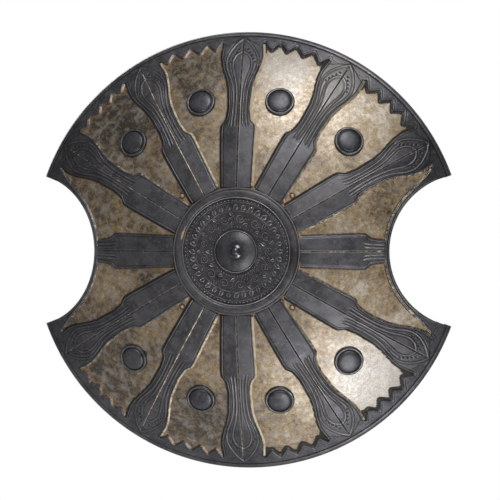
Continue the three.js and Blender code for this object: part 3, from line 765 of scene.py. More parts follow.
@dataclass(frozen=True)
class Leather(Finish):
    """Tanned hide: pebbled grain, darker creases and rubbed high spots."""

    name: str
    main: Colour
    dark: Colour
    rubbed: Colour
    pebble: float = 0.0016
    bump: float = 0.00035
    roughness: tuple[float, float] = (0.42, 0.62)

    def dress(self, w: Wiring, effects: Effects) -> dict[str, Any]:
        """Wires what feeds the shader, and returns it by the shader's input.

        Args:
            w: The material's wiring.
            effects: The shared shader groups.

        Returns:
            A value or a socket for each input of the shader.
        """
        relief = w.mask("relief")
        mottle = effects.mottle.put(w, Size=self.pebble * 16)
        wear = effects.wear.put(w, Relief=relief, Size=self.pebble * 4, Ridge_Reach=0.7, Groove_Reach=0.8)
        place = object_coordinates(w)
        cells = w.node("ShaderNodeTexVoronoi", {"Vector": place, "Scale": 1 / self.pebble})
        pebbles = w.ramp(cells.outputs["Distance"], 0.05, 0.6)
        colour = w.mix(w.ramp(mottle["Broad"], 0.3, 0.7), self.dark, self.main)
        colour = w.mix(w.times(pebbles, 0.35), colour, self.dark)
        colour = w.mix(wear["Groove"], colour, self.dark)
        colour = w.mix(wear["Ridge"], colour, self.rubbed)
        rough = w.ramp(mottle["Fine"], 0.3, 0.7, self.roughness)
        grain = effects.grain.put(w, Size=self.pebble / 2)["Height"]
        height = w.minus(w.times(grain, 0.5), pebbles)
        return {"Base Color": colour, "Roughness": rough, "Normal": w.bump(height, self.bump)}


@dataclass(frozen=True)
class Timber(Finish):
    """Oiled planks with an upright grain, dark pores and a few dark blotches."""

    name: str = "oiled_board"
    early: Colour = (0.235, 0.150, 0.085, 1.0)
    late: Colour = (0.105, 0.058, 0.031, 1.0)
    pore: Colour = (0.040, 0.023, 0.014, 1.0)
    stretch: tuple[float, float, float] = (1.0, 1.0, 0.035)
    ring_width: float = 0.0062
    pith_reach: float = 0.16
    pith_depth: float = 0.23
    waviness: float = 0.030
    bump: float = 0.0004

    def rings(self, w: Wiring, shift: Socket, along: Socket) -> Socket:
        """Distance from the pith, which stands behind each plank at a place of its own.

        Args:
            w: The material's wiring.
            shift: The plank's own number.
            along: Coordinates that change slowly along the grain.

        Returns:
            The distance, bent by slow waves.
        """
        here = coordinate_parts(w)
        pith = w.times(w.math("SINE", w.times(shift, 23.0)), self.pith_reach)
        sideways = w.plus(here[0], pith)
        depth = w.plus(w.times(here[2], 0.06), self.pith_depth)
        depth = w.plus(depth, here[1])
        square = w.plus(w.times(sideways, sideways), w.times(depth, depth))
        bend = w.times(w.minus(w.noise(along, 16.0, 2.0, 0.45, 0.2), 0.5), self.waviness)
        return w.plus(w.math("SQRT", square), bend)

    def dress(self, w: Wiring, effects: Effects) -> dict[str, Any]:
        """Wires what feeds the shader, and returns it by the shader's input.

        Args:
            w: The material's wiring.
            effects: The shared shader groups.

        Returns:
            A value or a socket for each input of the shader.
        """
        relief = w.mask("relief")
        shift = w.mask("shift")
        offset = w.node("ShaderNodeCombineXYZ", {0: shift, 2: shift}).outputs[0]
        place = w.vector_math("ADD", object_coordinates(w), offset)
        along = w.vector_math("MULTIPLY", place, self.stretch)
        waves = w.math("SINE", w.times(self.rings(w, shift, along), 2 * pi / self.ring_width))
        rings = w.ramp(waves, -0.5, 1.0)
        fibres = w.noise(along, 420.0, 3.0, 0.6)
        pores = w.ramp(w.noise(along, 950.0, 2.0, 0.5), 0.60, 0.74)
        mottle = effects.mottle.put(w, Size=0.11)
        colour = w.mix(w.times(rings, 0.75), self.early, self.late)
        colour = w.mix(w.ramp(fibres, 0.42, 0.70, (0.0, 0.55)), colour, self.late)
        tone = w.math("SINE", w.times(shift, 9.0))
        colour = w.mix(w.ramp(tone, -1.0, 1.0, (0.0, 0.35)), colour, self.late)
        colour = w.mix(w.ramp(mottle["Broad"], 0.48, 0.78, (0.0, 0.6)), colour, self.late)
        colour = w.mix(w.times(pores, 0.6), colour, self.pore)
        colour = w.mix(w.ramp(relief, 0.2, 1.0, (0.0, 0.8)), colour, self.pore)
        rough = w.ramp(rings, 0.0, 1.0, (0.62, 0.48))
        height = w.minus(w.times(rings, -0.4), pores)
        return {"Base Color": colour, "Roughness": rough, "Normal": w.bump(height, self.bump, 0.8)}


@dataclass
class Finishes:
    """Every finish on the shield, by the part of it that wears it."""

    effects: Effects = field(default_factory=Effects)

    def __post_init__(self) -> None:
        """Builds the materials."""
        gilt = (0.74, 0.64, 0.46, 1.0)
        frame_metal = Metal(
            "blackened_frame",
            deep=(0.050, 0.049, 0.056, 1.0), main=(0.088, 0.086, 0.095, 1.0),
            pale=(0.135, 0.128, 0.130, 1.0), rubbed=(0.27, 0.255, 0.235, 1.0),
            groove=(0.010, 0.010, 0.011, 1.0), edge=gilt, patch=0.03, metallic=0.55,
            roughness=(0.36, 0.54), bump=0.00022, grain=0.0022,
            # Broad spots of painted highlight (positive share) and painted shade (negative share).
            patches=(
                (0.190, 0.335, 0.110, 0.36), (0.080, 0.165, 0.070, 0.06), (0.395, 0.195, 0.130, -0.60),
                (0.400, -0.170, 0.070, -0.35), (-0.385, 0.200, 0.140, -0.45),
                (-0.400, -0.170, 0.120, -0.35), (-0.020, -0.440, 0.120, -0.42),
                (-0.200, 0.000, 0.120, -0.20), (-0.010, 0.260, 0.130, -0.50),
                (0.000, -0.230, 0.090, -0.20), (0.170, 0.100, 0.070, 0.10), (0.121, -0.015, 0.038, -0.65),
                (0.290, 0.000, 0.080, -0.45), (0.325, 0.110, 0.070, -0.45), (0.330, -0.110, 0.070, -0.50),
                (0.000, 0.120, 0.050, -0.25), (0.000, -0.120, 0.050, -0.25),
            ),
        )
        boss_metal = Metal(
            "blackened_boss",
            deep=(0.036, 0.037, 0.042, 1.0), main=(0.066, 0.067, 0.075, 1.0),
            pale=(0.108, 0.106, 0.110, 1.0), rubbed=(0.28, 0.265, 0.25, 1.0),
            groove=(0.009, 0.009, 0.011, 1.0), edge=gilt, patch=0.018, metallic=0.6,
            roughness=(0.36, 0.50), bump=0.00015, grain=0.0018, edge_reach=0.4,
            # Broad spots of painted highlight (positive share) and painted shade (negative share).
            patches=(
                (0.233, 0.233, 0.040, -0.28), (-0.233, -0.233, 0.050, 0.10), (0.032, 0.000, 0.024, 0.12),
                (-0.034, 0.000, 0.024, -0.25),
            ),
        )
        hub_metal = replace(
            frame_metal,
            name="blackened_hub", edge=(0.44, 0.21, 0.08, 1.0), tarnish=(0.62, 0.44, 0.26, 1.0),
        )
        rust = Metal(
            "rusted_rivet",
            deep=(0.10, 0.045, 0.02, 1.0), main=(0.20, 0.10, 0.045, 1.0), pale=(0.32, 0.20, 0.12, 1.0),
            rubbed=(0.45, 0.36, 0.28, 1.0), groove=(0.02, 0.012, 0.008, 1.0),
            edge=(0.30, 0.12, 0.04, 1.0), patch=0.004, metallic=0.4, roughness=(0.45, 0.7), bump=0.0003,
            grain=0.0012,
        )
        brass = Metal(
            "old_brass",
            deep=(0.13, 0.090, 0.038, 1.0), main=(0.24, 0.175, 0.080, 1.0), pale=(0.33, 0.26, 0.14, 1.0),
            rubbed=(0.58, 0.47, 0.28, 1.0), groove=(0.035, 0.028, 0.016, 1.0),
            edge=(0.10, 0.12, 0.075, 1.0), patch=0.008, metallic=0.85, roughness=(0.30, 0.50),
            bump=0.00015, grain=0.0014, edge_reach=0.5,
        )
        strap = Leather(
            "harness_leather", main=(0.105, 0.050, 0.026, 1.0), dark=(0.035, 0.018, 0.011, 1.0),
            rubbed=(0.22, 0.12, 0.065, 1.0),
        )
        pad = Leather(
            "pad_leather", main=(0.15, 0.078, 0.042, 1.0), dark=(0.050, 0.026, 0.015, 1.0),
            rubbed=(0.27, 0.16, 0.095, 1.0), pebble=0.0022,
        )
        thread = Leather(
            "waxed_thread",
            main=(0.42, 0.34, 0.22, 1.0), dark=(0.20, 0.15, 0.09, 1.0), rubbed=(0.55, 0.47, 0.34, 1.0),
            pebble=0.0006, bump=0.0001,
        )
        self.frame_metal = frame_metal.material(self.effects)
        self.hub_metal = hub_metal.material(self.effects)
        self.boss_metal = boss_metal.material(self.effects)
        self.rust = rust.material(self.effects)
        self.brass = brass.material(self.effects)
        self.gold = Facing().material(self.effects)
        self.strap = strap.material(self.effects)
        self.pad = pad.material(self.effects)
        self.thread = thread.material(self.effects)
        self.wood = Timber().material(self.effects)


def linked(name: str, data: bpy.types.ID) -> Piece:
    """A new object of some data, linked to the scene.

    Args:
        name: The object's name.
        data: What it holds.

    Returns:
        The object.
    """
    made = bpy.data.objects.new(name, data)
    bpy.context.scene.collection.objects.link(made)
    return made


def mesh_piece(name: str, skin: Skin, material: Material, sharp: float = 38.0) -> Piece:
    """Makes an object from a skin.

    Args:
        name: The object's name.
        skin: Its corners, faces and masks.
        material: Its finish.
        sharp: Edges that turn by more than this many degrees stay crisp.

    Returns:
        The object, linked to the scene.
    """
    points, faces = skin.arrays()
    mesh = bpy.data.meshes.new(name)
    mesh.from_pydata(points.tolist(), [], faces)
    for mask, held in skin.masks.items():
        layer = mesh.attributes.new(mask, "FLOAT", "POINT")
        layer.data.foreach_set("value", np.concatenate(held).astype(np.float32))
    mesh.shade_smooth()
    mesh.set_sharp_from_angle(angle=radians(sharp))
    mesh.materials.append(material)
    return linked(name, mesh)


def lofted(name: str, grid: Array, masks: Masks, material: Material, sharp: float = 38.0) -> Piece:
    """Makes an object of one closed tube.

    Args:
        name: The object's name.
        grid: Points of shape (sections, corners, 3).
        masks: A number for each corner, by name.
        material: Its finish.
        sharp: Edges that turn by more than this many degrees stay crisp.

    Returns:
        The object.
    """
    skin = Skin()
    skin.loft(grid, masks)
    return mesh_piece(name, skin, material, sharp)


def settle(piece: Piece, nodes: Sequence[str] = (), body: str = SHIELD_BODY) -> None:
    """Says what a finished piece rides on and stands for, and reports its faces.

    Args:
        piece: The finished piece.
        nodes: The CAD nodes that it stands for.
        body: The CAD body that it moves with.
    """
    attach(piece, body)
    if nodes:
        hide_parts(*nodes)
    log.info("%s: %d faces", piece.name, len(piece.data.polygons))


class SocketKind(Enum):
    """Kinds of input of a Geometry Nodes tree."""

    GEOMETRY = "NodeSocketGeometry"
    NUMBER = "NodeSocketFloat"
    COUNT = "NodeSocketInt"
    MATERIAL = "NodeSocketMaterial"
    THING = "NodeSocketObject"


class GeometryTree:
    """A Geometry Nodes tree with named inputs, run on an object and baked to a plain mesh."""

    def __init__(self, name: str, inputs: Mapping[str, SocketKind]) -> None:
        """Makes the tree's sockets; its body is wired by the caller.

        Args:
            name: The tree's name.
            inputs: Names and kinds of its inputs, after the geometry.
        """
        self.tree = bpy.data.node_groups.new(name, "GeometryNodeTree")
        sockets = {"Geometry": SocketKind.GEOMETRY, **inputs, "Material": SocketKind.MATERIAL}
        add = self.tree.interface.new_socket
        self.keys = {
            label: add(label, in_out="INPUT", socket_type=kind.value).identifier
            for label, kind in sockets.items()
        }
        add("Geometry", in_out="OUTPUT", socket_type=SocketKind.GEOMETRY.value)
        self.wiring = Wiring(self.tree)
        self.given = self.wiring.node("NodeGroupInput").outputs

    def end(self, geometry: Socket) -> None:
        """Realizes the geometry, gives it its material and sends it out.

        Args:
            geometry: What the tree has built.
        """
        w = self.wiring
        real = w.node("GeometryNodeRealizeInstances", {"Geometry": geometry}).outputs[0]
        inputs = {"Geometry": real, "Material": self.given["Material"]}
        dressed = w.node("GeometryNodeSetMaterial", inputs)
        w.node("NodeGroupOutput", {0: dressed.outputs[0]})

    def bake(self, holder: Piece, material: Material, **inputs: Any) -> Piece:
        """Runs the tree on an object and replaces its data by the plain result.

        Args:
            holder: The object whose geometry goes in.
            material: The finish of the result.
            **inputs: Values by input name, with spaces as underscores.

        Returns:
            A new object that holds the result, under the holder's name.
        """
        modifier = holder.modifiers.new(self.tree.name, "NODES")
        modifier.node_group = self.tree
        values = {key.replace("_", " "): value for key, value in inputs.items()}
        for label, value in {**values, "Material": material}.items():
            modifier[self.keys[label]] = value
        bpy.context.view_layer.update()
        evaluated = holder.evaluated_get(bpy.context.evaluated_depsgraph_get())
        mesh = bpy.data.meshes.new_from_object(evaluated)
        name = holder.name
        holder.modifiers.remove(modifier)
        bpy.data.objects.remove(holder)
        return linked(name, mesh)


def beaten_tree() -> GeometryTree:
    """Moves a surface along its own direction by soft noise, as hammer work does.

    Returns:
        The tree.
    """
    inputs = {"Depth": SocketKind.NUMBER, "Size": SocketKind.NUMBER, "Seed": SocketKind.NUMBER}
    tree = GeometryTree("beaten_surface", inputs)
    w, given = tree.wiring, tree.given
    place = w.node("GeometryNodeInputPosition").outputs[0]
    scale = w.over(1.0, given["Size"])
    texture = w.node(
        "ShaderNodeTexNoise", {"Vector": place, "W": given["Seed"], "Scale": scale, "Detail": 2.0},
        noise_dimensions="4D",
    )
    depth = w.times(w.minus(texture.outputs[0], 0.5), given["Depth"])
    normal = w.node("GeometryNodeInputNormal").outputs[0]
    offset = w.node("ShaderNodeVectorMath", {0: normal, "Scale": depth}, operation="SCALE").outputs[0]
    moved = w.node("GeometryNodeSetPosition", {"Geometry": given["Geometry"], "Offset": offset})
    tree.end(moved.outputs[0])
    return tree


def motif_ring_tree() -> GeometryTree:
    """Sets a motif round a circle that faces along -Y, each one turned to the circle's middle.

    Returns:
        The tree.
    """
    inputs = {
        "Motif": SocketKind.THING, "Count": SocketKind.COUNT, "Radius": SocketKind.NUMBER,
        "Place": SocketKind.NUMBER, "Turn": SocketKind.NUMBER, "Start": SocketKind.NUMBER,
        "Uneven": SocketKind.NUMBER, "Seed": SocketKind.COUNT,
    }
    tree = GeometryTree("motif_ring", inputs)
    w, given = tree.wiring, tree.given
    points = w.node("GeometryNodePoints", {"Count": given["Count"]}).outputs[0]
    step = w.over(2 * pi, given["Count"])
    index = w.node("GeometryNodeInputIndex").outputs[0]
    angle = w.plus(w.times(index, step), given["Start"])
    x = w.times(w.math("COSINE", angle), given["Radius"])
    z = w.times(w.math("SINE", angle), given["Radius"])
    place = w.node("ShaderNodeCombineXYZ", {0: x, 1: given["Place"], 2: z}).outputs[0]
    placed = w.node("GeometryNodeSetPosition", {"Geometry": points, "Position": place}).outputs[0]
    limits = {2: -1.0, 3: 1.0, 8: given["Seed"]}
    chance = w.node("FunctionNodeRandomValue", limits, data_type="FLOAT").outputs[1]
    sway = w.times(chance, given["Uneven"])
    turn = w.plus(w.minus(given["Turn"], angle), sway)
    euler = w.node("ShaderNodeCombineXYZ", {1: turn}).outputs[0]
    motif = w.node("GeometryNodeObjectInfo", {"Object": given["Motif"]}).outputs["Geometry"]
    share = w.plus(1.0, w.times(sway, 0.5))
    size = w.node("ShaderNodeCombineXYZ", {0: share, 1: share, 2: share}).outputs[0]
    spread = w.node(
        "GeometryNodeInstanceOnPoints",
        {"Points": placed, "Instance": motif, "Rotation": euler, "Scale": size},
    )
    joined = w.node("GeometryNodeJoinGeometry")
    w.tree.links.new(spread.outputs[0], joined.inputs[0])
    w.tree.links.new(given["Geometry"], joined.inputs[0])
    tree.end(joined.outputs[0])
    return tree


def stitch_tree() -> GeometryTree:
    """Lays stitches along the edges of a guide line, at a steady spacing.

    Returns:
        The tree.
    """
    inputs = {"Stitch": SocketKind.THING, "Spacing": SocketKind.NUMBER}
    tree = GeometryTree("stitch_row", inputs)
    w, given = tree.wiring, tree.given
    line = w.node("GeometryNodeMeshToCurve", {"Mesh": given["Geometry"]}).outputs[0]
    even = w.node("GeometryNodeResampleCurve", {"Curve": line, "Length": given["Spacing"]}, mode="LENGTH")
    tangent = w.node("GeometryNodeInputTangent").outputs[0]
    rotation = w.node("FunctionNodeAlignEulerToVector", {"Vector": tangent}, axis="X").outputs[0]
    stitch = w.node("GeometryNodeObjectInfo", {"Object": given["Stitch"]}).outputs["Geometry"]
    spread = w.node(
        "GeometryNodeInstanceOnPoints",
        {"Points": even.outputs[0], "Instance": stitch, "Rotation": rotation},
    )
    tree.end(spread.outputs[0])
    return tree


def sweep_tree() -> GeometryTree:
    """Sweeps a round bar along a guide line.

    Returns:
        The tree.
    """
    tree = GeometryTree("swept_bar", {"Radius": SocketKind.NUMBER, "Sides": SocketKind.COUNT})
    w, given = tree.wiring, tree.given
    line = w.node("GeometryNodeMeshToCurve", {"Mesh": given["Geometry"]}).outputs[0]
    size = {"Resolution": given["Sides"], "Radius": given["Radius"]}
    circle = w.node("GeometryNodeCurvePrimitiveCircle", size)
    bar = w.node(
        "GeometryNodeCurveToMesh",
        {"Curve": line, "Profile Curve": circle.outputs[0], "Fill Caps": True},
    )
    shade = w.node("GeometryNodeSetShadeSmooth", {"Geometry": bar.outputs[0]})
    tree.end(shade.outputs[0])
    return tree


@dataclass
class Tools:
    """The Geometry Nodes trees that the sub-assemblies draw on."""

    beaten: GeometryTree = field(default_factory=beaten_tree)
    motif_ring: GeometryTree = field(default_factory=motif_ring_tree)
    stitches: GeometryTree = field(default_factory=stitch_tree)
    bar: GeometryTree = field(default_factory=sweep_tree)


@dataclass
class SubAssembly:
    """What every sub-assembly is given: the shield's curve, its finishes and the shared trees."""

    bowl: Bowl
    finishes: Finishes
    tools: Tools


def guide_line(name: str, points: Array, closed: bool = False) -> Piece:
    """An object that holds a line of edges, for a tree to follow.

    Args:
        name: The object's name.
        points: The line's points.
        closed: True if the last point joins the first.

    Returns:
        The object, linked to the scene.
    """
    count = len(points)
    edges = [(i, i + 1) for i in range(count - 1)] + ([(count - 1, 0)] if closed else [])
    mesh = bpy.data.meshes.new(name)
    mesh.from_pydata(np.asarray(points).tolist(), edges, [])
    return linked(name, mesh)


@dataclass(frozen=True)
class RibForm:
    """The shape of a rib strap, from its place along and across the strap."""

    start: float = 0.1283
    end: float = 0.4236
    half: float = 0.0445
    tip: float = 0.4395
    tip_start: float = 0.40
    crest: float = 0.0022
    groove_half: float = 0.0020
    groove_depth: float = 0.0016
    reed_height: float = 0.0009
    reed_half: float = 0.0017
    reed_start: float = 0.250
    flare: float = 0.332
    lip: Line = (0.0024, 0.0016, 0.0006)
    lip_groove: Line = (0.0047, 0.0013, -0.0008)
    tip_edge: Line = (0.0, 0.0013, 1.0)
    tip_soft: float = 0.0016
    end_rise: float = 0.0004
    edge_drop: float = 0.0004
    shaft_step: float = 0.0003
    tip_spread: float = 1.73
    dot_radius: float = 0.0021
    dot_depth: float = 0.0012
    outline_shares: Pairs = (
        (0, 0.708), (0.379, 0.798), (0.423, 0.787), (0.453, 0.607), (0.48, 0.562), (0.541, 0.51),
        (0.677, 0.566), (0.752, 0.697), (0.809, 0.845), (0.86, 0.944), (0.908, 1), (1, 0.944),
    )
    dot_places: Pairs = (
        (0.3850, 0.0250), (0.3920, 0.0217), (0.3990, 0.0178), (0.4060, 0.0135), (0.4130, 0.0092),
    )
    outer_leaf: Pairs = (
        (0.246, 0.0172), (0.262, 0.0148), (0.280, 0.0136), (0.300, 0.0134), (0.320, 0.0144),
        (0.340, 0.0182), (0.355, 0.0240), (0.367, 0.0290), (0.378, 0.0318), (0.388, 0.0321),
        (0.398, 0.0300), (0.408, 0.0255), (0.418, 0.0188), (0.427, 0.0110), (0.4355, 0.0),
    )
    inner_leaf: Pairs = (
        (0.246, 0.0098), (0.262, 0.0082), (0.280, 0.0073), (0.300, 0.0070), (0.320, 0.0076),
        (0.340, 0.0100), (0.355, 0.0138), (0.367, 0.0174), (0.377, 0.0192), (0.386, 0.0188),
        (0.394, 0.0160), (0.401, 0.0112), (0.4075, 0.0),
    )

    @property
    def end_half(self) -> float:
        """Half the strap's width at its outer end."""
        return float(self.half_width(np.array(self.end)))

    def half_width(self, along: Array) -> Array:
        """Half the strap's width at places along it.

        Args:
            along: The places.

        Returns:
            Half the width at each of them.
        """
        share, width = np.array(self.outline_shares).T
        length = self.end - self.start
        fine = np.linspace(-0.1, 1.1, 481)
        line = np.interp(fine, share, width)
        blur = np.exp(-0.5 * (np.arange(-12, 13) / 3.2) ** 2)
        line = np.convolve(np.pad(line, 12, mode="edge"), blur / blur.sum(), mode="valid")
        return self.half * np.interp((along - self.start) / length, fine, line)

    def reeds(self, along: Array, off: Array) -> tuple[Array, Array]:
        """The raised lines that run down the waist and close in two nested leaves at the tip.

        Args:
            along: Places along the strap.
            off: Distances from its crest.

        Returns:
            The height of the raised lines, and the depth of the grooves beside them, from 0 to 1.
        """
        flat = np.stack([along.ravel(), off.ravel()], 1)
        ridge, flank = np.zeros(len(flat)), np.zeros(len(flat))
        for points in (self.outer_leaf, self.inner_leaf):
            away = line_distance(flat, np.array(rounded(points, 3)))
            ridge = np.maximum(ridge, smooth(1 - away / self.reed_half))
            beside = np.abs(away - 1.7 * self.reed_half) / (0.8 * self.reed_half)
            flank = np.maximum(flank, smooth(1 - beside))
        start = smooth((along - self.reed_start + 0.15 * off) / 0.008)
        return ridge.reshape(along.shape) * start, flank.reshape(along.shape) * start

    def relief(self, along: Array, across: Array) -> tuple[Array, Array]:
        """Height over the frame's plate, and how much of it is fine line work.

        Args:
            along: Places along the strap.
            across: Places across it, 0 on the crest.

        Returns:
            The height, and a signed number from -1 in grooves to 1 on ridges.
        """
        half = self.half_width(along)
        off = np.abs(across)
        roof_share = 1 - np.clip((off - self.groove_half) / (half - self.groove_half), 0, 1)
        spread = (self.tip - along) * self.tip_spread - off
        pointed = smooth(spread / self.tip_soft)
        taper = smooth((self.tip - along) / 0.05)
        roof = self.crest * roof_share * (0.35 + 0.65 * taper) * pointed
        roof = roof + self.end_rise * pointed * (along > self.flare)
        depth = np.clip(1 - off / self.groove_half, 0, 1) * smooth((self.tip - 0.004 - along) / 0.004)
        groove = -self.groove_depth * depth
        ridge, flank = self.reeds(along, off)
        reeds = self.reed_height * (ridge - 0.7 * flank)
        border = half - off
        beyond = along > self.end
        lip = raised_line(border, self.lip) * ~beyond
        lip_groove = raised_line(border, self.lip_groove) * ~beyond
        edge_line = raised_line(spread, self.tip_edge) * (along > self.tip_start)
        step = self.shaft_step * (1 - smooth((along - self.reed_start + 0.006 + 0.15 * off) / 0.004))
        dots = np.zeros_like(off)
        for place, offset in self.dot_places:
            away = np.hypot(along - place, off - offset)
            border_ring = smooth(1 - np.abs(away / self.dot_radius - 1.5) * 3)
            dots = dots - smooth(1.35 - away / self.dot_radius) + 0.25 * border_ring
        height = roof + groove + reeds + lip + lip_groove + step + dots * self.dot_depth
        height = height - self.edge_drop * edge_line
        line_work = 0.75 * ridge - 0.9 * flank + (0.5 * lip + 0.8 * lip_groove) / FULL_RELIEF
        line_work = line_work + dots * 1.6 - depth * 0.9 - edge_line
        crest_line = smooth(1 - np.abs(off - self.groove_half) / 0.0011)
        return height, np.clip(line_work + crest_line * (along < self.tip - 0.006), -1, 1)


@dataclass(frozen=True)
class RimForm:
    """The shape of the rim: its toothed inner outline, incised line, roll, wall and back lip."""

    tooth_root: float = 0.431
    tooth_tip: float = 0.413
    seat_place: float = 0.4236
    seat_margin: float = 0.002
    horn_radius: float = 0.417
    horn_top: float = 0.235
    teeth: int = 4
    unevenness: float = 0.0020
    roundings: int = 9
    left_roundings: int = 26
    lip: Line = (0.0030, 0.0016, 0.0005)
    lip_groove: Line = (0.0052, 0.0014, -0.0004)
    line_radius: float = 0.441
    line_half: float = 0.0012
    line_depth: float = 0.0012
    roll_width: float = 0.0078
    roll_rise: float = 0.0009
    roll_drop: float = 0.0030
    wall: float = 0.002
    lip_thickness: float = 0.0015
    lip_width: float = 0.015

    def outline(self, bowl: Bowl, rib: RibForm) -> Array:
        """The inner outline of the upper rim band, from the right horn over the top to the left.

        Args:
            bowl: The bowl, for where the bites end the rim.
            rib: The rib, for the width of its seat.

        Returns:
            Points of angle and radius.
        """
        seat_half = rib.end_half + 0.0003
        corner = atan2(seat_half, self.seat_place)
        corner_radius = hypot(seat_half, self.seat_place)
        horn = asin((rib.half + 0.0003) / self.horn_radius)
        points = [(bite_angle(bowl, self.horn_radius), self.horn_radius)]
        points.append((hour_angle(2) - horn, self.horn_radius))
        for hour in UPPER_HOURS:
            angle = hour_angle(hour)
            points += [(angle - corner, corner_radius), (angle + corner, corner_radius)]
            if hour > -2:
                step = (HOUR_STEP - 2 * corner) / (2 * self.teeth)
                for i in range(2 * self.teeth + 1):
                    radius = self.tooth_tip if i % 2 else self.tooth_root
                    uneven = self.unevenness * sin(37.0 * i + 11.0 * hour) * (0 < i < 2 * self.teeth)
                    points.append((angle + corner + (i + 60 * uneven) * step, radius + uneven))
        left = [(pi - a, r) for a, r in points[:2]]
        return np.array(points + left[::-1])

    def columns(self, outline: Array) -> Array:
        """The outline in short steps, straight between its corners.

        Args:
            outline: Points of angle and radius.

        Returns:
            Points of x and z.
        """
        flat = flat_points(outline)
        made = [flat[:1]]
        for a, b in zip(flat[:-1], flat[1:]):
            length = float(np.hypot(*(b - a)))
            steps = max(1, round(length / 0.0018))
            made.append(a + (b - a) * (np.arange(1, steps + 1) / steps)[:, None])
        line = np.concatenate(made)
        worn = line.copy()
        for i in range(self.left_roundings):
            worn[1:-1] = inner_means(worn)
            if i + 1 == self.roundings:
                line = worn.copy()
        left = smooth((0.05 - line[:, [0]]) / 0.25)
        return line * (1 - left) + worn * left


def bite_angle(bowl: Bowl, radius: Array) -> Array:
    """The angle from the mid line at which a bite crosses a circle about the axis."""
    return angle_between(radius, bowl.bite_place, bowl.bite_radius)


def line_distance(points: Array, line: Array) -> Array:
    """Distance of points on the face from a line of straight steps.

    Args:
        points: Points of x and z, shape (n, 2).
        line: The line's points, shape (m, 2).

    Returns:
        The least distance of each point.
    """
    least = np.full(len(points), np.inf)
    for a, b in zip(line[:-1], line[1:]):
        step = b - a
        share = np.clip((points - a) @ step / max(float(step @ step), 1e-18), 0, 1)
        away = points - a - share[:, None] * step
        least = np.minimum(least, np.hypot(away[:, 0], away[:, 1]))
    return least


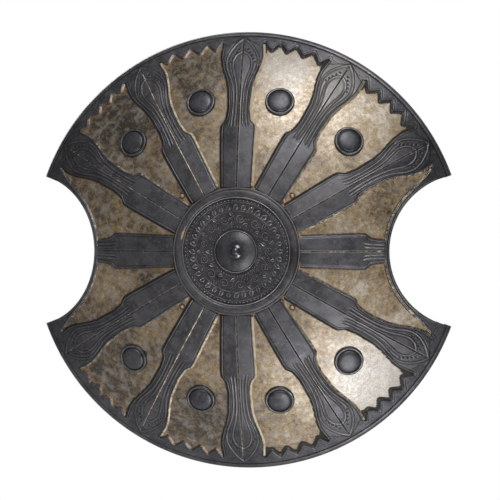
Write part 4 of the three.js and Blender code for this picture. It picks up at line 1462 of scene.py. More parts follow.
@dataclass
class DarkFrame(SubAssembly):
    """The ribs, the rim bands and the bite bands."""

    rib: RibForm = field(default_factory=RibForm)
    rim: RimForm = field(default_factory=RimForm)
    band_width: float = 0.009
    band_horn_width: float = 0.012
    band_lip: Line = (0.0012, 0.0014, 0.0005)
    band_groove: Line = (0.0034, 0.0012, -0.0005)
    band_bead: Line = (0.0022, 0.002, 0.0004)
    band_fold: tuple[float, float] = (0.0008, 0.0007)
    back_lip_width: float = 0.010
    back_lip_front: float = 0.0015
    bite_gap: float = 0.0002
    column_count: int = 34
    top_inset: float = 0.0017
    foot: float = 0.0110
    slope: Pairs = ((0.0004, 0.0003), (0.0018, 0.0013), (0.0035, 0.0028))
    tooth_inset: float = 0.0024
    tooth_slope: Pairs = ((0.0066, 0.0028), (0.0033, 0.0012), (0.0007, 0.0003))
    horn_window: tuple[float, float] = (0.366, 0.417)
    horn_close: float = 0.0145
    creep_share: float = 0.45
    creep_reach: float = 0.0016
    band_gilding: tuple[float, float, float] = (0.30, 0.55, 0.36)
    tooth_gilding: float = 0.54
    tooth_tarnish: float = 0.80
    # Per rib, how much edge gilding it shows, which on walls that face right is also painted highlight.
    rib_gilt_and_highlight: tuple[float, ...] = (
        0.60, 0.50, 0.45, 0.40, 0.55, 0.95, 0.65, 0.45, 0.40, 0.42, 0.72, 1.10
    )
    # Per rib, painted highlight along the lit side of its crest groove.
    crest_painted_highlight: tuple[float, ...] = (
        0.0, 0.38, 0.42, 0.0, 0.0, 0.45, 0.66, 0.42, 0.30, 0.44, 0.66, 0.38
    )
    fixed_inner: tuple[float, ...] = (0.0, 0.0007, 0.0014, 0.0020, 0.0027, 0.0036)
    fixed_outer: tuple[float, ...] = (0.0050, 0.0042, 0.0034, 0.0026, 0.0019, 0.0012, 0.0006, 0.0)

    @property
    def band_place(self) -> float:
        """Distance from the axis of the centre of a bite band's inner edge circle."""
        b = self.bowl
        horn_x = b.mouth_place - self.band_horn_width * (b.bite_place - b.mouth_place) / b.bite_radius
        horn_z = b.bite_half_mouth * (1 + self.band_horn_width / b.bite_radius)
        reach = b.mouth_place - b.bite_depth - self.band_width
        return (horn_x**2 + horn_z**2 - reach**2) / (2 * (horn_x - reach))

    @property
    def band_edge_radius(self) -> float:
        """Radius of a bite band's inner edge circle."""
        return self.band_place - (self.bowl.mouth_place - self.bowl.bite_depth - self.band_width)

    def across_shares(self, half: Array) -> Array:
        """Places across a rib for each of its rows, close together at the crest and the edge.

        Args:
            half: Half the rib's width in each row.

        Returns:
            A row of places for each row.
        """
        inner = np.array(self.fixed_inner)
        outer = np.array(self.fixed_outer)
        spread = np.linspace(0, 1, self.column_count + 2)[1:-1]
        low, high = inner[-1], half[:, None] - outer[0]
        middle = low + (high - low) * spread
        inner_rows = np.broadcast_to(inner, (len(half), len(inner)))
        one_side = np.concatenate([inner_rows, middle, half[:, None] - outer], axis=1)
        return np.concatenate([one_side[:, ::-1], -one_side[:, 1:]], axis=1)

    def rib_rows(self) -> Array:
        """Places along a rib: wide apart on the shaft and close together on the line work.

        Returns:
            The places.
        """
        shaft = np.arange(self.rib.start, self.rib.reed_start - 0.012, 0.004)
        fine = np.arange(self.rib.reed_start - 0.010, self.rib.end, 0.0013)
        return np.concatenate([shaft, fine, [self.rib.end]])

    def make_rib(self, hour: int) -> None:
        """Builds one rib, closed all round and bedded on the facing.

        Args:
            hour: The clock hour that it points to.
        """
        start, end = self.rib.start, self.rib.end
        along = self.rib_rows()
        angle = hour_angle(hour)
        meets_bite = hour in (3, 9)
        half = self.rib.half_width(along) - self.top_inset
        across = self.across_shares(half)
        rows = np.broadcast_to(along[:, None], across.shape)
        for fitting in range(4 if meets_bite else 0):
            if fitting:
                middle = rows[:, rows.shape[1] // 2]
                across = self.across_shares(self.rib.half_width(middle) - self.top_inset)
            limit = self.band_place - np.sqrt(self.band_edge_radius**2 - across**2) - self.bite_gap
            rows = start + (along[:, None] - start) * (limit - start) / (end - start)
        height, lines = self.rib.relief(rows, across)
        level = self.bowl.frame_front + height
        edges = across[:, [-1]], across[:, [0]]
        rows_end = rows[:, [-1]], rows[:, [0]]
        spread = [-out for out, _ in self.slope]
        near_wall, far_wall = [edges[0] + v for v in spread], [edges[1] - v for v in spread[::-1]]
        parts_across = [across, *near_wall, 0 * edges[0], *far_wall]
        parts_rows = [rows, *[rows_end[0]] * 3, (rows_end[0] + rows_end[1]) / 2, *[rows_end[1]] * 3]
        one = np.ones((len(along), 1))
        wall_levels = [one * (self.bowl.frame_front - drop) for _, drop in self.slope]
        parts_level = [level, *wall_levels, one * self.foot, *wall_levels[::-1]]
        x, z = face_point(angle, np.concatenate(parts_rows, 1), np.concatenate(parts_across, 1))
        grid = self.bowl.place(x, z, np.concatenate(parts_level, 1))
        half = np.abs(across[:, 0]) if meets_bite else half
        border = self.creep(half[:, None] - np.abs(across))
        # Gilding on the edges and walls, more on the side that faces right: painted highlight on the lit
        # side.
        share = self.rib_gilt_and_highlight[hour - 1]
        gilt = share * self.gilding(sin(angle)), share * self.gilding(-sin(angle))
        border = border * np.where(across < 0, gilt[0], gilt[1])
        # Painted highlight along the side of the crest groove that faces the light.
        lit = (across * sin(angle) > -0.0002) & (along[:, None] < end - 0.002)
        crest = smooth(1.25 - np.abs(across) / self.rib.groove_half) * lit
        border = np.maximum(border, self.crest_painted_highlight[hour - 1] * crest)
        walls = [one * gilt[0]] * 3 + [one * 0] + [one * gilt[1]] * 3
        edge = np.concatenate([border, *walls], 1)
        edge *= (smooth((along - start) / 0.004) * smooth((end - along) / 0.002))[:, None]
        worn = self.lines_fainter_left(lines, x[:, : lines.shape[1]])
        # Walls that face left get negative relief, which the metal paints dark as painted shade.
        relief = np.concatenate([worn, *[np.minimum(wall / share, 1) - one for wall in walls]], 1)
        name, masks = f"rib_{hour:02d}", {"relief": relief, "edge": edge}
        settle(lofted(f"{name}_cast", grid, masks, self.finishes.frame_metal), [name])

    @staticmethod
    def gilding(facing_right: Array | float) -> Array:
        """How much gilding a wall shows, by how far it faces right: more on walls that face right as
        painted highlight, and painted shade on the walls that face left.
        """
        return smooth((np.asarray(facing_right) + 0.45) / 0.8)

    @staticmethod
    def lines_fainter_left(lines: Array, x: Array) -> Array:
        """The line work with its ridges fainter on the left of the shield."""
        return np.where(lines > 0, lines * (0.6 + 0.4 * smooth((x + 0.10) / 0.08)), lines)

    @staticmethod
    def gilt_left_shade_right(x: Array) -> Array:
        """How much gilding the teeth show: most of it on the left; on the right little, with painted
        shade on and beside their walls instead.
        """
        return 0.9 - 0.8 * smooth((x + 0.06) / 0.10)

    def creep(self, off_edge: Array) -> Array:
        """How strongly the gilding creeps over an edge, at distances in from it."""
        return self.creep_share * smooth(1 - off_edge / self.creep_reach)

    def open_share(self, columns: Array) -> Array:
        """How freely the rim's inner edge stands, from 0 where it is seated to 1 at the teeth.

        Args:
            columns: Points of x and z on the edge.

        Returns:
            The share at each point.
        """
        x, z = columns.T
        seated = (np.abs(np.hypot(x, z) - self.rim.horn_radius) < 0.0008) & (z < self.rim.horn_top)
        for hour in UPPER_HOURS:
            along, across = strap_place(x, z, hour)
            beside = np.abs(across) < self.rib.end_half + self.rim.seat_margin
            seated |= beside & (along > self.rib.tip_start) & (along < self.rim.seat_place + 0.003)
        free = 1.0 - seated
        for _ in range(3):
            free[1:-1] = inner_means(free)
        return free * ~seated

    def back_section(self) -> list[tuple[float, float]]:
        """The rim's outer wall, its back lip and its inner wall.

        Returns:
            Points of radius and y, from the front edge round the back.
        """
        b, form = self.bowl, self.rim
        front_edge = b.forward(b.frame_front - form.roll_drop, b.radius)
        lip, wall, thick = b.radius - form.lip_width, b.radius - form.wall, form.lip_thickness
        section = [(b.radius, front_edge), (b.radius, front_edge * 0.5), (b.radius, 0.0), (lip, 0.0)]
        return section + [(lip, -thick), (wall, -thick), (wall, b.forward(b.frame_back, wall))]

    def make_rim(self, side: int) -> None:
        """Builds the rim band above or below the bites.

        Args:
            side: 1 for the upper band and -1 for the lower one.
        """
        b, form = self.bowl, self.rim
        outline = form.outline(b, self.rib)
        columns = form.columns(outline)
        angle = np.arctan2(columns[:, 1], columns[:, 0])
        inner = np.hypot(columns[:, 0], columns[:, 1])
        share = (np.arange(15) / 15) ** 1.15
        flat_end = form.line_radius - form.line_half * 2.6
        open_share = self.open_share(columns)
        first_radius = (inner + self.tooth_inset * open_share)[:, None]
        first = first_radius + (flat_end - first_radius) * share
        near_line = form.line_radius + form.line_half * np.array([-2.6, -1.2, -0.6, 0, 0.6, 1.2])
        roll = form.line_radius + np.array([0.0026, 0.0042, 0.0058, 0.0072, 0.0082, 0.0088, 0.009])
        fixed = np.concatenate([near_line, roll])
        radius = np.concatenate([first, np.broadcast_to(fixed, (len(columns), len(fixed)))], 1)
        nominal = float(bite_angle(b, b.radius))
        fade = radians(5)
        reach_right = np.clip(1 - (angle - nominal) / fade, 0, 1)[:, None]
        reach_left = np.clip(1 - (pi - nominal - angle) / fade, 0, 1)[:, None]
        lean = bite_angle(b, radius) - bite_angle(b, inner[[0]])
        turn = angle[:, None] + lean * (reach_right - reach_left)
        x, z = radius * np.cos(turn), radius * np.sin(turn)
        flat = np.stack([x.ravel(), z.ravel()], 1)
        away = line_distance(flat, flat_points(outline)).reshape(x.shape)
        height, lines = self.rim_relief(x, z, radius, away)
        level = b.frame_front + height
        top = b.place(x, z, level)
        end_turn = turn[:, [-1]]
        ring = [
            np.stack([r * np.cos(end_turn), np.full_like(end_turn, y), r * np.sin(end_turn)], -1)
            for r, y in self.back_section()
        ]
        foot = []
        for reach, drop in self.tooth_slope:
            out = radius[:, [0]] - reach * open_share[:, None]
            points = out * np.cos(turn[:, [0]]), out * np.sin(turn[:, [0]])
            foot.append(b.place(*points, b.frame_front - drop))
        grid = np.concatenate([top, *ring, *foot], 1)
        one = np.ones((len(columns), 1))
        step = np.gradient(columns, axis=0)
        # Tooth gilding, more on walls that face right and on the left of the shield; where it is less,
        # the walls get painted shade.
        gilt = 0.50 + 0.50 * self.gilding(-step[:, 1] / np.hypot(step[:, 0], step[:, 1]))
        gilt = gilt * self.gilt_left_shade_right(columns[:, 0]) * self.tooth_gilding
        gilt = gilt[:, None] * open_share[:, None]
        border = self.creep(away - self.tooth_inset) * gilt
        low = np.maximum(gilt, 0.3 * open_share[:, None])
        edge = np.concatenate([border, *[0 * one] * 7, low, gilt, 0.7 * gilt], 1)
        # Painted shade on the tooth walls, as negative relief where their gilding is less.
        tooth_wall_shade = np.minimum(gilt / self.tooth_gilding, 1) - one
        relief = np.concatenate([lines, *[0 * one] * 7, *[tooth_wall_shade] * 3], 1)
        grid[..., 2] *= side
        skin = Skin()
        skin.loft(grid, {"relief": relief, "edge": edge, "tarnish": self.tooth_tarnish * (edge > 0)})
        for flank in (1, -1):
            skin.loft(self.horn_wall() * (flank, 1, side), {})
        word = "upper" if side > 0 else "lower"
        made = mesh_piece(f"rim_{word}_cast", skin, self.finishes.frame_metal)
        settle(made, [f"rim_band_{word}"])

    def horn_wall(self) -> Array:
        """The wall that closes the rim's end over the board, from the bite band to the horn's tip.

        Returns:
            The points of its sections.
        """
        b = self.bowl
        inset = 0.0003
        radius = np.linspace(self.rim.horn_radius, b.radius - self.rim.wall - inset, 17)[:, None]
        distance = b.bite_radius + np.array([[inset, inset, b.bite_wall, b.bite_wall]])
        turn = angle_between(distance, b.bite_place, radius)
        x, z = b.bite_place - distance * np.cos(turn), distance * np.sin(turn)
        y = b.forward(self.foot + 0.0005, radius) * np.array([[0, 1, 1, 0]]) - inset
        return np.stack([x, y, z], -1)

    def rim_relief(self, x: Array, z: Array, radius: Array, away: Array) -> tuple[Array, Array]:
        """Height of the rim over the frame's plate, and its line work.

        Args:
            x: Sideways places.
            z: Upright places.
            radius: Distances from the axis.
            away: Distances from the toothed outline.

        Returns:
            The height, and a signed number from -1 in grooves to 1 on ridges.
        """
        form = self.rim
        off_line = np.abs(radius - form.line_radius) / form.line_half
        incised = -form.line_depth * smooth(1.15 - off_line)
        outward = np.clip((radius - form.line_radius - form.line_half) / form.roll_width, 0, 1)
        drop = form.roll_rise + form.roll_drop
        roll = form.roll_rise * np.sin(pi * np.clip(outward * 1.1, 0, 1))
        roll = roll - drop * np.clip(outward - 0.62, 0, 1) ** 2 * 6.9
        on_rib, rib_height, rib_lines = (np.zeros_like(x) for _ in range(3))
        for hour in UPPER_HOURS:
            along, across = strap_place(x, z, hour)
            reach = (self.rib.tip - along) * self.rib.tip_spread + form.seat_margin
            near = (np.abs(across) < reach) & (along > 0.41)
            rib_height[near], rib_lines[near] = self.rib.relief(along[near], across[near])
            seat = (np.abs(across) < self.rib.half) & (along < form.seat_place + 0.004)
            on_rib = np.where(near | seat, 1.0, on_rib)
        lip = raised_line(away, form.lip) * (1 - on_rib)
        lip_groove = raised_line(away, form.lip_groove) * (1 - on_rib)
        height = incised + roll * (outward > 0) + lip + lip_groove + rib_height
        lines = (0.35 * lip + 0.7 * lip_groove) / FULL_RELIEF - 1.3 * smooth(1.3 - off_line) + rib_lines
        lines = lines + 0.3 * smooth(1 - np.abs(outward - 0.45) / 0.3)
        return height, self.lines_fainter_left(np.clip(lines, -1, 1), x)

    def make_bite_band(self, side: int) -> None:
        """Builds the band round one bite: front plate, wall over the board's edge and back lip.

        Args:
            side: 1 for the right bite and -1 for the left one.
        """
        b = self.bowl
        inner = b.bite_radius
        offset = self.band_place - b.bite_place
        shares = np.linspace(-1, 1, 361)
        guess = shares * radians(64.6)
        edge = -offset * np.cos(guess) + np.sqrt(self.band_edge_radius**2 - (offset * np.sin(guess)) ** 2)
        edge_radius = np.hypot(b.bite_place - edge * np.cos(guess), edge * np.sin(guess))
        near, far = self.horn_window
        closing = np.clip((edge_radius - near) / (far - near), 0, 1) ** 1.8
        edge = edge - self.top_inset + self.horn_close * closing
        plate = np.array([0.0, 0.06, 0.14, 0.24, 0.36, 0.48, 0.60, 0.70, 0.78, 0.86, 0.93, 1.0])
        fold, fold_drop = self.band_fold
        plate_distance = inner + fold + (edge[:, None] - inner - fold) * plate
        one = np.ones((len(shares), 1))
        slopes = [edge[:, None] + out for out, _ in self.slope[1:]]
        behind = [one * (inner + out) for out in (b.bite_wall, b.bite_wall, *[self.back_lip_width] * 2)]
        distance = np.concatenate([one * inner, one * inner, plate_distance, *slopes, *behind], 1)
        off_edge = edge[:, None] - plate_distance
        off_bite = plate_distance - inner
        lip, lip_groove = raised_line(off_edge, self.band_lip), raised_line(off_edge, self.band_groove)
        bead = raised_line(off_bite, self.band_bead)
        top = b.frame_front + lip + lip_groove + bead - 0.0003 * (off_bite < 0.0009)
        low = [b.frame_front - self.slope[1][1], self.foot, self.foot, *[self.back_lip_front] * 2, 0]
        wall = [one * 0, one * (b.frame_front - fold_drop)]
        level = np.concatenate([*wall, top, *[one * up for up in low]], 1)
        limit = self.rim.horn_radius - self.bite_gap
        turn = shares[:, None] * angle_between(distance, b.bite_place, limit)
        x = b.bite_place - distance * np.cos(turn)
        z = distance * np.sin(turn)
        grid = b.place(x, z, level)
        grid[..., 0] *= side
        plate_lines = np.clip((lip + lip_groove * 1.6) / FULL_RELIEF + bead / FULL_RELIEF, -1, 1)
        relief = np.concatenate([0 * one, 0.3 * one, plate_lines, *[-0.3 * one] * 2, *[0 * one] * 4], 1)
        top_share, right_share, left_share = self.band_gilding
        gilding = top_share * smooth(1 - off_edge / self.creep_reach)
        wall = one * (right_share if side > 0 else left_share)
        edge_mask = np.concatenate([0 * one, 0 * one, gilding, wall, wall, *[0 * one] * 4], 1)
        word, masks = "right" if side > 0 else "left", {"relief": relief, "edge": edge_mask}
        made = lofted(f"bite_{word}_cast", grid, masks, self.finishes.frame_metal)
        settle(made, [f"bite_band_{word}"])

    def build(self) -> None:
        """Builds every rib and band."""
        for hour in range(1, HOUR_COUNT + 1):
            self.make_rib(hour)
        for side in (1, -1):
            self.make_rim(side)
            self.make_bite_band(side)


@dataclass
class FacingSheet(SubAssembly):
    """The gold sheet that shows in the windows."""

    dark_frame: DarkFrame
    edge_gap: float = 0.0023
    inner: float = 0.112
    ring_step: float = 0.0031
    turn_steps: int = 720
    dent_depth: float = 0.00045
    dent_size: float = 0.038
    tooth_start: float = 0.398
    rim_start: float = 0.38

    def reach(self, angle: Array) -> Array:
        """How far the sheet goes from the axis, at angles from the mid line.

        Args:
            angle: The angles.

        Returns:
            The distance at each of them.
        """
        b = self.bowl
        outer = b.radius - self.edge_gap
        bite = b.bite_radius + self.edge_gap
        fold = np.abs((angle + pi / 2) % pi - pi / 2)
        inside = bite**2 - (b.bite_place * np.sin(fold)) ** 2
        cut = b.bite_place * np.cos(fold) - np.sqrt(np.clip(inside, 0, None))
        return np.where(inside > 0, np.minimum(cut, outer), outer)

    def frame_gap(self, x: Array, z: Array) -> Array:
        """Distance on the face from the frame's nearest edge.

        Args:
            x: Sideways places.
            z: Upright places.

        Returns:
            The distances.
        """
        f = self.dark_frame
        radius = np.hypot(x, z)
        least = np.abs(radius - f.rib.start)
        for hour in range(HOUR_COUNT):
            along, across = strap_place(x, z, hour)
            gap = np.where(along > f.rib.start, np.abs(np.abs(across) - f.rib.half_width(along)), 1.0)
            least = np.minimum(least, gap)
        for side in (1, -1):
            least = np.minimum(least, np.abs(np.hypot(x - side * f.band_place, z) - f.band_edge_radius))
        line = flat_points(f.rim.outline(f.bowl, f.rib))
        flat = np.stack([x.ravel(), np.abs(z).ravel()], 1)
        rim = np.full(len(flat), 1.0)
        outer = radius.ravel() > self.rim_start
        rim[outer] = line_distance(flat[outer], line)
        return np.minimum(least, rim.reshape(x.shape))

    def edge_masks(self, x: Array, z: Array) -> Masks:
        """Masks of how close a place lies to the frame, and of painted shadow beside walls that face left
        and beside the teeth on the right.

        Args:
            x: Sideways places.
            z: Upright places.

        Returns:
            The masks, by name.
        """
        gap = self.frame_gap(x, z)
        small = 0.0006
        facing_right = (self.frame_gap(x + small, z) - gap) / small
        # Painted shadow beside walls that face left, and beside the teeth on the right of the shield,
        # wider towards the bottom.
        shade = 1 - self.dark_frame.gilding(facing_right)
        teeth = smooth((np.hypot(x, z) - self.tooth_start) / 0.01)
        tooth_shade = 1 - self.dark_frame.gilt_left_shade_right(x)
        shade = np.maximum(shade, teeth * tooth_shade)
        near = np.exp(-np.clip(gap - 0.0018, 0, None) / (0.0045 + 0.0035 * teeth))
        near = near * (1 + smooth((0.165 - np.hypot(x, z)) / 0.03) + 0.3 * teeth * (1 - tooth_shade))
        low = smooth(-z / 0.1)
        start = 0.0026 + (0.0027 + 0.0014 * low) * teeth * tooth_shade
        fade = 0.0020
        # The painted shadow goes out under the relief name, which the gold finish paints dark.
        return {"edge": near, "relief": shade * np.exp(-np.clip(gap - start, 0, None) / fade)}

    def build(self) -> None:
        """Builds the sheet as a closed ring of two faces."""
        b = self.bowl
        angle = np.linspace(0, 2 * pi, self.turn_steps, endpoint=False)
        outer = self.reach(angle)
        rows = round((b.radius - self.inner) / self.ring_step)
        share = np.linspace(0, 1, rows)
        radius = self.inner + (outer[:, None] - self.inner) * share
        back = self.inner + (outer[:, None] - self.inner) * np.linspace(1, 0, 12)
        both = np.concatenate([radius, back], 1)
        levels = np.full(radius.shape, b.facing_front), np.full(back.shape, b.facing_back)
        x, z = both * np.cos(angle)[:, None], both * np.sin(angle)[:, None]
        skin = Skin()
        skin.loft(b.place(x, z, np.concatenate(levels, 1)), self.edge_masks(x, z), ring=True)
        sheet = mesh_piece("facing_beaten", skin, self.finishes.gold)
        dents = {"Depth": self.dent_depth, "Size": self.dent_size, "Seed": 4.0}
        sheet = self.tools.beaten.bake(sheet, self.finishes.gold, **dents)
        settle(sheet, ["facing_sheet"])


def turned_piece(
    name: str,
    profile: Pairs,
    material: Material,
    segments: int = 96,
    relief: Sequence[float] | float = 0.0,
    matrix: Matrix | None = None,
    sharp: float = 50.0,
    shine: Sequence[float] | float = 0.0,
) -> Piece:
    """Makes a turned solid about the Y axis, and sets it on its seat.

    Args:
        name: The object's name.
        profile: Distances from the axis and y.
        material: Its finish.
        segments: How many steps go round.
        relief: A signed wear number for each point of the profile.
        matrix: The seat, or None to leave it on the shield's axis.
        sharp: Edges that turn by more than this many degrees stay crisp.
        shine: How polished each point of the profile is, from 0 to 1.

    Returns:
        The object.
    """
    skin = Skin()
    skin.revolve(profile, segments, {"relief": relief, "shine": shine})
    made = mesh_piece(name, skin, material, sharp)
    if matrix is not None:
        made.data.transform(matrix)
    return made


def rounded(points: Pairs, steps: int) -> list[tuple[float, float]]:
    """A smooth line through points.

    Args:
        points: The points to pass through.
        steps: How many steps go between two of them.

    Returns:
        The smooth line's points.
    """
    p = np.array(points, float)
    padded = np.concatenate([p[:1], p, p[-1:]])
    made = []
    for i in range(len(p) - 1):
        a, b, c, d = padded[i : i + 4]
        for t in np.arange(steps) / steps:
            curve = (2 * a - 5 * b + 4 * c - d) * t**2 + (3 * b - a - 3 * c + d) * t**3
            made.append(0.5 * (2 * b + (c - a) * t + curve))
    made.append(p[-1])
    return [tuple(q) for q in made]


@dataclass
class Hub(SubAssembly):
    """The hub's ring, its ornament plate, the boss and the rivet through them."""

    radius: float = 0.128
    ring_inner: float = 0.106
    plate_radius: float = 0.1057
    plate_height: float = 0.0105
    plate_edge_height: float = 0.008
    boss_radius: float = 0.0435
    boss_height: float = 0.0113
    nipple_radius: float = 0.008
    nipple_height: float = 0.0075
    shank_radius: float = 0.004
    rove_radius: float = 0.013
    tail_height: float = 0.0024
    gap: float = 0.0003
    knob_share: float = 0.44
    crown_drop: float = 0.0007
    ring_ridges: tuple[float, float] = (0.1262, 0.1079)
    plate_rings: Pairs = ((0.0808, 0.0009), (0.0985, 0.0008))
    rub_place: tuple[float, float] = (2.82, 0.1130)
    rub_size: tuple[float, float] = (0.016, 0.0016)
    ring_line: Pairs = (
        (0.1280, 0.0048), (0.1274, 0.0056), (0.1258, 0.0058), (0.1248, 0.0056), (0.1243, 0.0062),
        (0.1238, 0.0085), (0.1222, 0.0104), (0.1198, 0.0112), (0.1165, 0.0117), (0.1135, 0.0115),
        (0.1112, 0.0108), (0.1098, 0.0101), (0.1092, 0.0112), (0.1084, 0.0121), (0.1074, 0.0122),
        (0.1065, 0.0117), (0.1060, 0.0108),
    )
    crown_line: Pairs = (
        (0.0, 0.0), (0.18, 0.00011), (0.36, 0.00045), (0.56, 0.00105), (0.78, 0.00193), (0.92, 0.00258),
        (0.98, 0.00295),
    )
    boss_shares: Pairs = (
        (0.105, 0.86), (0.186, 0.86), (0.189, 1.33), (0.194, 1.345), (0.207, 1.314), (0.230, 1.262),
        (0.253, 1.212), (0.276, 1.167), (0.299, 1.128), (0.333, 1.083), (0.368, 1.058), (0.425, 1.040),
        (0.500, 1.000), (0.580, 0.930), (0.680, 0.800), (0.790, 0.610), (0.880, 0.435), (0.925, 0.36),
        (0.942, 0.45), (0.960, 0.50), (0.977, 0.47), (0.990, 0.40), (1.0, 0.32),
    )

    @property
    def seat(self) -> float:
        """The y of the hub's foot."""
        return float(self.bowl.forward(self.bowl.frame_back, self.radius))

    def plate_y(self, radius: float) -> float:
        """The y of the ornament plate's face at a distance from the axis.

        Args:
            radius: The distance.

        Returns:
            The y.
        """
        inner = self.boss_radius + 0.005
        share = min(max((self.plate_radius - radius) / (self.plate_radius - inner), 0.0), 1.0)
        return self.seat - self.plate_edge_height - share * (self.plate_height - self.plate_edge_height)

    def make_ring(self) -> None:
        """Builds the stepped ring with its torus."""
        line = [(r, self.seat - up) for r, up in rounded(self.ring_line, 3)]
        foot = float(self.bowl.forward(self.bowl.frame_back, self.ring_inner))
        profile = [(self.radius, self.seat), *line, (self.ring_inner, foot)]
        up = np.array([0.0, *[self.seat - y for _, y in line], 0.0])
        bend = up - np.convolve(np.pad(up, 2, mode="edge"), np.ones(5) / 5, mode="valid")
        reach = np.array([self.radius, *[r for r, _ in line], self.ring_inner])
        relief = np.clip(bend / FULL_RELIEF, -1, 0.2)
        for ridge in self.ring_ridges:
            relief = relief + 1.1 * smooth(1 - np.abs(reach - ridge) / 0.0014)
        relief = np.clip(relief, -1, 1)
        relief[0] = relief[-1] = 0
        ring = turned_piece("hub_ring_cast", profile, self.finishes.hub_metal, 192, relief)
        self.rub_through(ring)
        ring = self.tools.beaten.bake(ring, self.finishes.hub_metal, Depth=0.0003, Size=0.02, Seed=2.0)
        settle(ring, ["hub_ring"])

    def rub_through(self, ring: Piece) -> None:
        """Marks the spot on the ring where its dark coat is rubbed through to the bronze.

        Args:
            ring: The ring.
        """
        count = len(ring.data.vertices)
        points = np.empty(count * 3)
        ring.data.vertices.foreach_get("co", points)
        x, _, z = points.reshape(-1, 3).T
        angle, radius = self.rub_place
        along = (np.arctan2(z, x) - angle) * radius / self.rub_size[0]
        across = (np.hypot(x, z) - radius) / self.rub_size[1]
        mask = 1.3 * smooth(1.4 - np.hypot(along, across))
        layer = ring.data.attributes.new("edge", "FLOAT", "POINT")
        layer.data.foreach_set("value", mask.astype(np.float32))

    def make_plate(self) -> None:
        """Builds the plate and its ornament: beads, a row of leaves, a running scroll and rings."""
        radii = np.linspace(0.002, self.plate_radius, 28).tolist()
        profile = [(r, float(self.bowl.forward(self.bowl.frame_back, r))) for r in radii]
        profile += [(r, self.plate_y(r)) for r in radii[::-1]]
        skin = Skin()
        skin.revolve(profile, 160, {"relief": -0.45})
        for ring_radius, thickness in self.plate_rings:
            circle = np.linspace(0, 2 * pi, 13)[:-1]
            up = self.plate_y(ring_radius)
            section = [(ring_radius + thickness * cos(t), up - thickness * sin(t)) for t in circle]
            skin.revolve(section, 160, {"relief": np.clip(np.sin(circle), 0, 1) * 0.5})
        plate = mesh_piece("hub_plate_cast", skin, self.finishes.frame_metal, 50)
        # Each row: motif, count, radius, turn of the whole row, turn of the motif
        rows = (
            (self.bead(0.0017), 84, 0.1022, 0.0, 0.0),
            (self.leaf(0.0150, 0.0060), 36, 0.0892, 0.0, 0.35),
            (self.leaf(0.0075, 0.0028), 36, 0.0932, pi / 36, pi - 0.5),
            (self.scroll(0.0085), 13, 0.0668, 0.0, 0.0),
            (self.leaf(0.0130, 0.0048), 13, 0.0575, pi / 13, 0.7),
            (self.leaf(0.0120, 0.0044), 13, 0.0742, pi / 13, pi - 0.6),
            (self.leaf(0.0080, 0.0032), 26, 0.0655, 0.0, 2.2),
            (self.bead(0.0013), 54, 0.0492, 0.0, 0.0),
        )
        for seed, (motif, count, radius, start, turn) in enumerate(rows):
            plate = self.tools.motif_ring.bake(
                plate, self.finishes.frame_metal,
                Motif=motif, Count=count, Radius=radius, Place=self.plate_y(radius), Turn=turn,
                Start=start, Uneven=0.22, Seed=seed,
            )
            bpy.data.objects.remove(motif)
        settle(plate, ["hub_plate"])

    def bead(self, radius: float) -> Piece:
        """A bead that stands half out of the plate, at the origin.

        Args:
            radius: Its radius.

        Returns:
            The bead.
        """
        profile = [(radius * cos(t), radius * (0.4 - 1.1 * sin(t))) for t in np.linspace(0, pi / 2, 5)]
        profile = [(radius, radius), *profile]
        profile = [(0.0, radius), *profile[:-1], (0.0, profile[-1][1])]
        return turned_piece("bead", profile, self.finishes.frame_metal, 8, [0, 0, 0, 0.2, 0.6, 0.9, 1.0])

    def leaf(self, length: float, half: float) -> Piece:
        """A pointed leaf with a sunk midrib, whose tip points along +X from the origin's middle.

        Args:
            length: Its length.
            half: Half its width.

        Returns:
            The leaf.
        """
        rows = []
        for t in np.linspace(0, 1, 11):
            width = half * sin(pi * min(max(t, 0.02), 0.985) ** 0.75)
            lift = 0.0010 + 0.0014 * sin(pi * t)
            half_section = [(0.0012, 1), (-lift * 0.25, 1), (-lift, 0.55), (-lift * 0.35, 0)]
            section = [(y, -out) for y, out in half_section] + half_section[2::-1]
            rows.append([((t - 0.5) * length, y, width * out) for y, out in section])
        wear = {"relief": np.array([-0.4, 0.0, 0.9, -0.8, 0.9, 0.0, -0.4])}
        return lofted("leaf", np.array(rows), wear, self.finishes.frame_metal, 60)

    def scroll(self, radius: float) -> Piece:
        """A spiral stem that uncoils to the next one, at the origin.

        Args:
            radius: The radius of its coil.

        Returns:
            The scroll.
        """
        rows = []
        coiled = 0.72
        for t in np.arange(34) / 33:
            if t < coiled:
                swing = 2 * pi * 1.6 * (1 - t / coiled)
                away = radius * (0.16 + 0.84 * t / coiled)
                x, z = away * cos(swing + pi / 2), -away * sin(swing + pi / 2)
            else:
                tail = (t - coiled) / (1 - coiled)
                x, z = radius * 0.6125 * tail, -radius * (1 + 1.71 * tail)
            rows.append((x, z, 0.0015 * (0.6 + 0.5 * sin(pi * min(t * 1.1, 1)))))
        line = np.array(rows)
        step = np.gradient(line[:, :2], axis=0)
        step /= np.maximum(np.hypot(step[:, 0], step[:, 1])[:, None], 1e-9)
        sections = []
        for (x, z, thick), (dx, dz) in zip(line, step):
            section = []
            for across, up in ((1.0, -0.8), (0.75, 0.6), (0.0, 1.25), (-0.75, 0.6), (-1.0, -0.8)):
                section.append((x - dz * across * thick, -up * thick, z + dx * across * thick))
            sections.append(section)
        wear = {"relief": np.array([-0.3, 0.3, 1.0, 0.3, -0.3])}
        return lofted("scroll", np.array(sections), wear, self.finishes.frame_metal, 60)

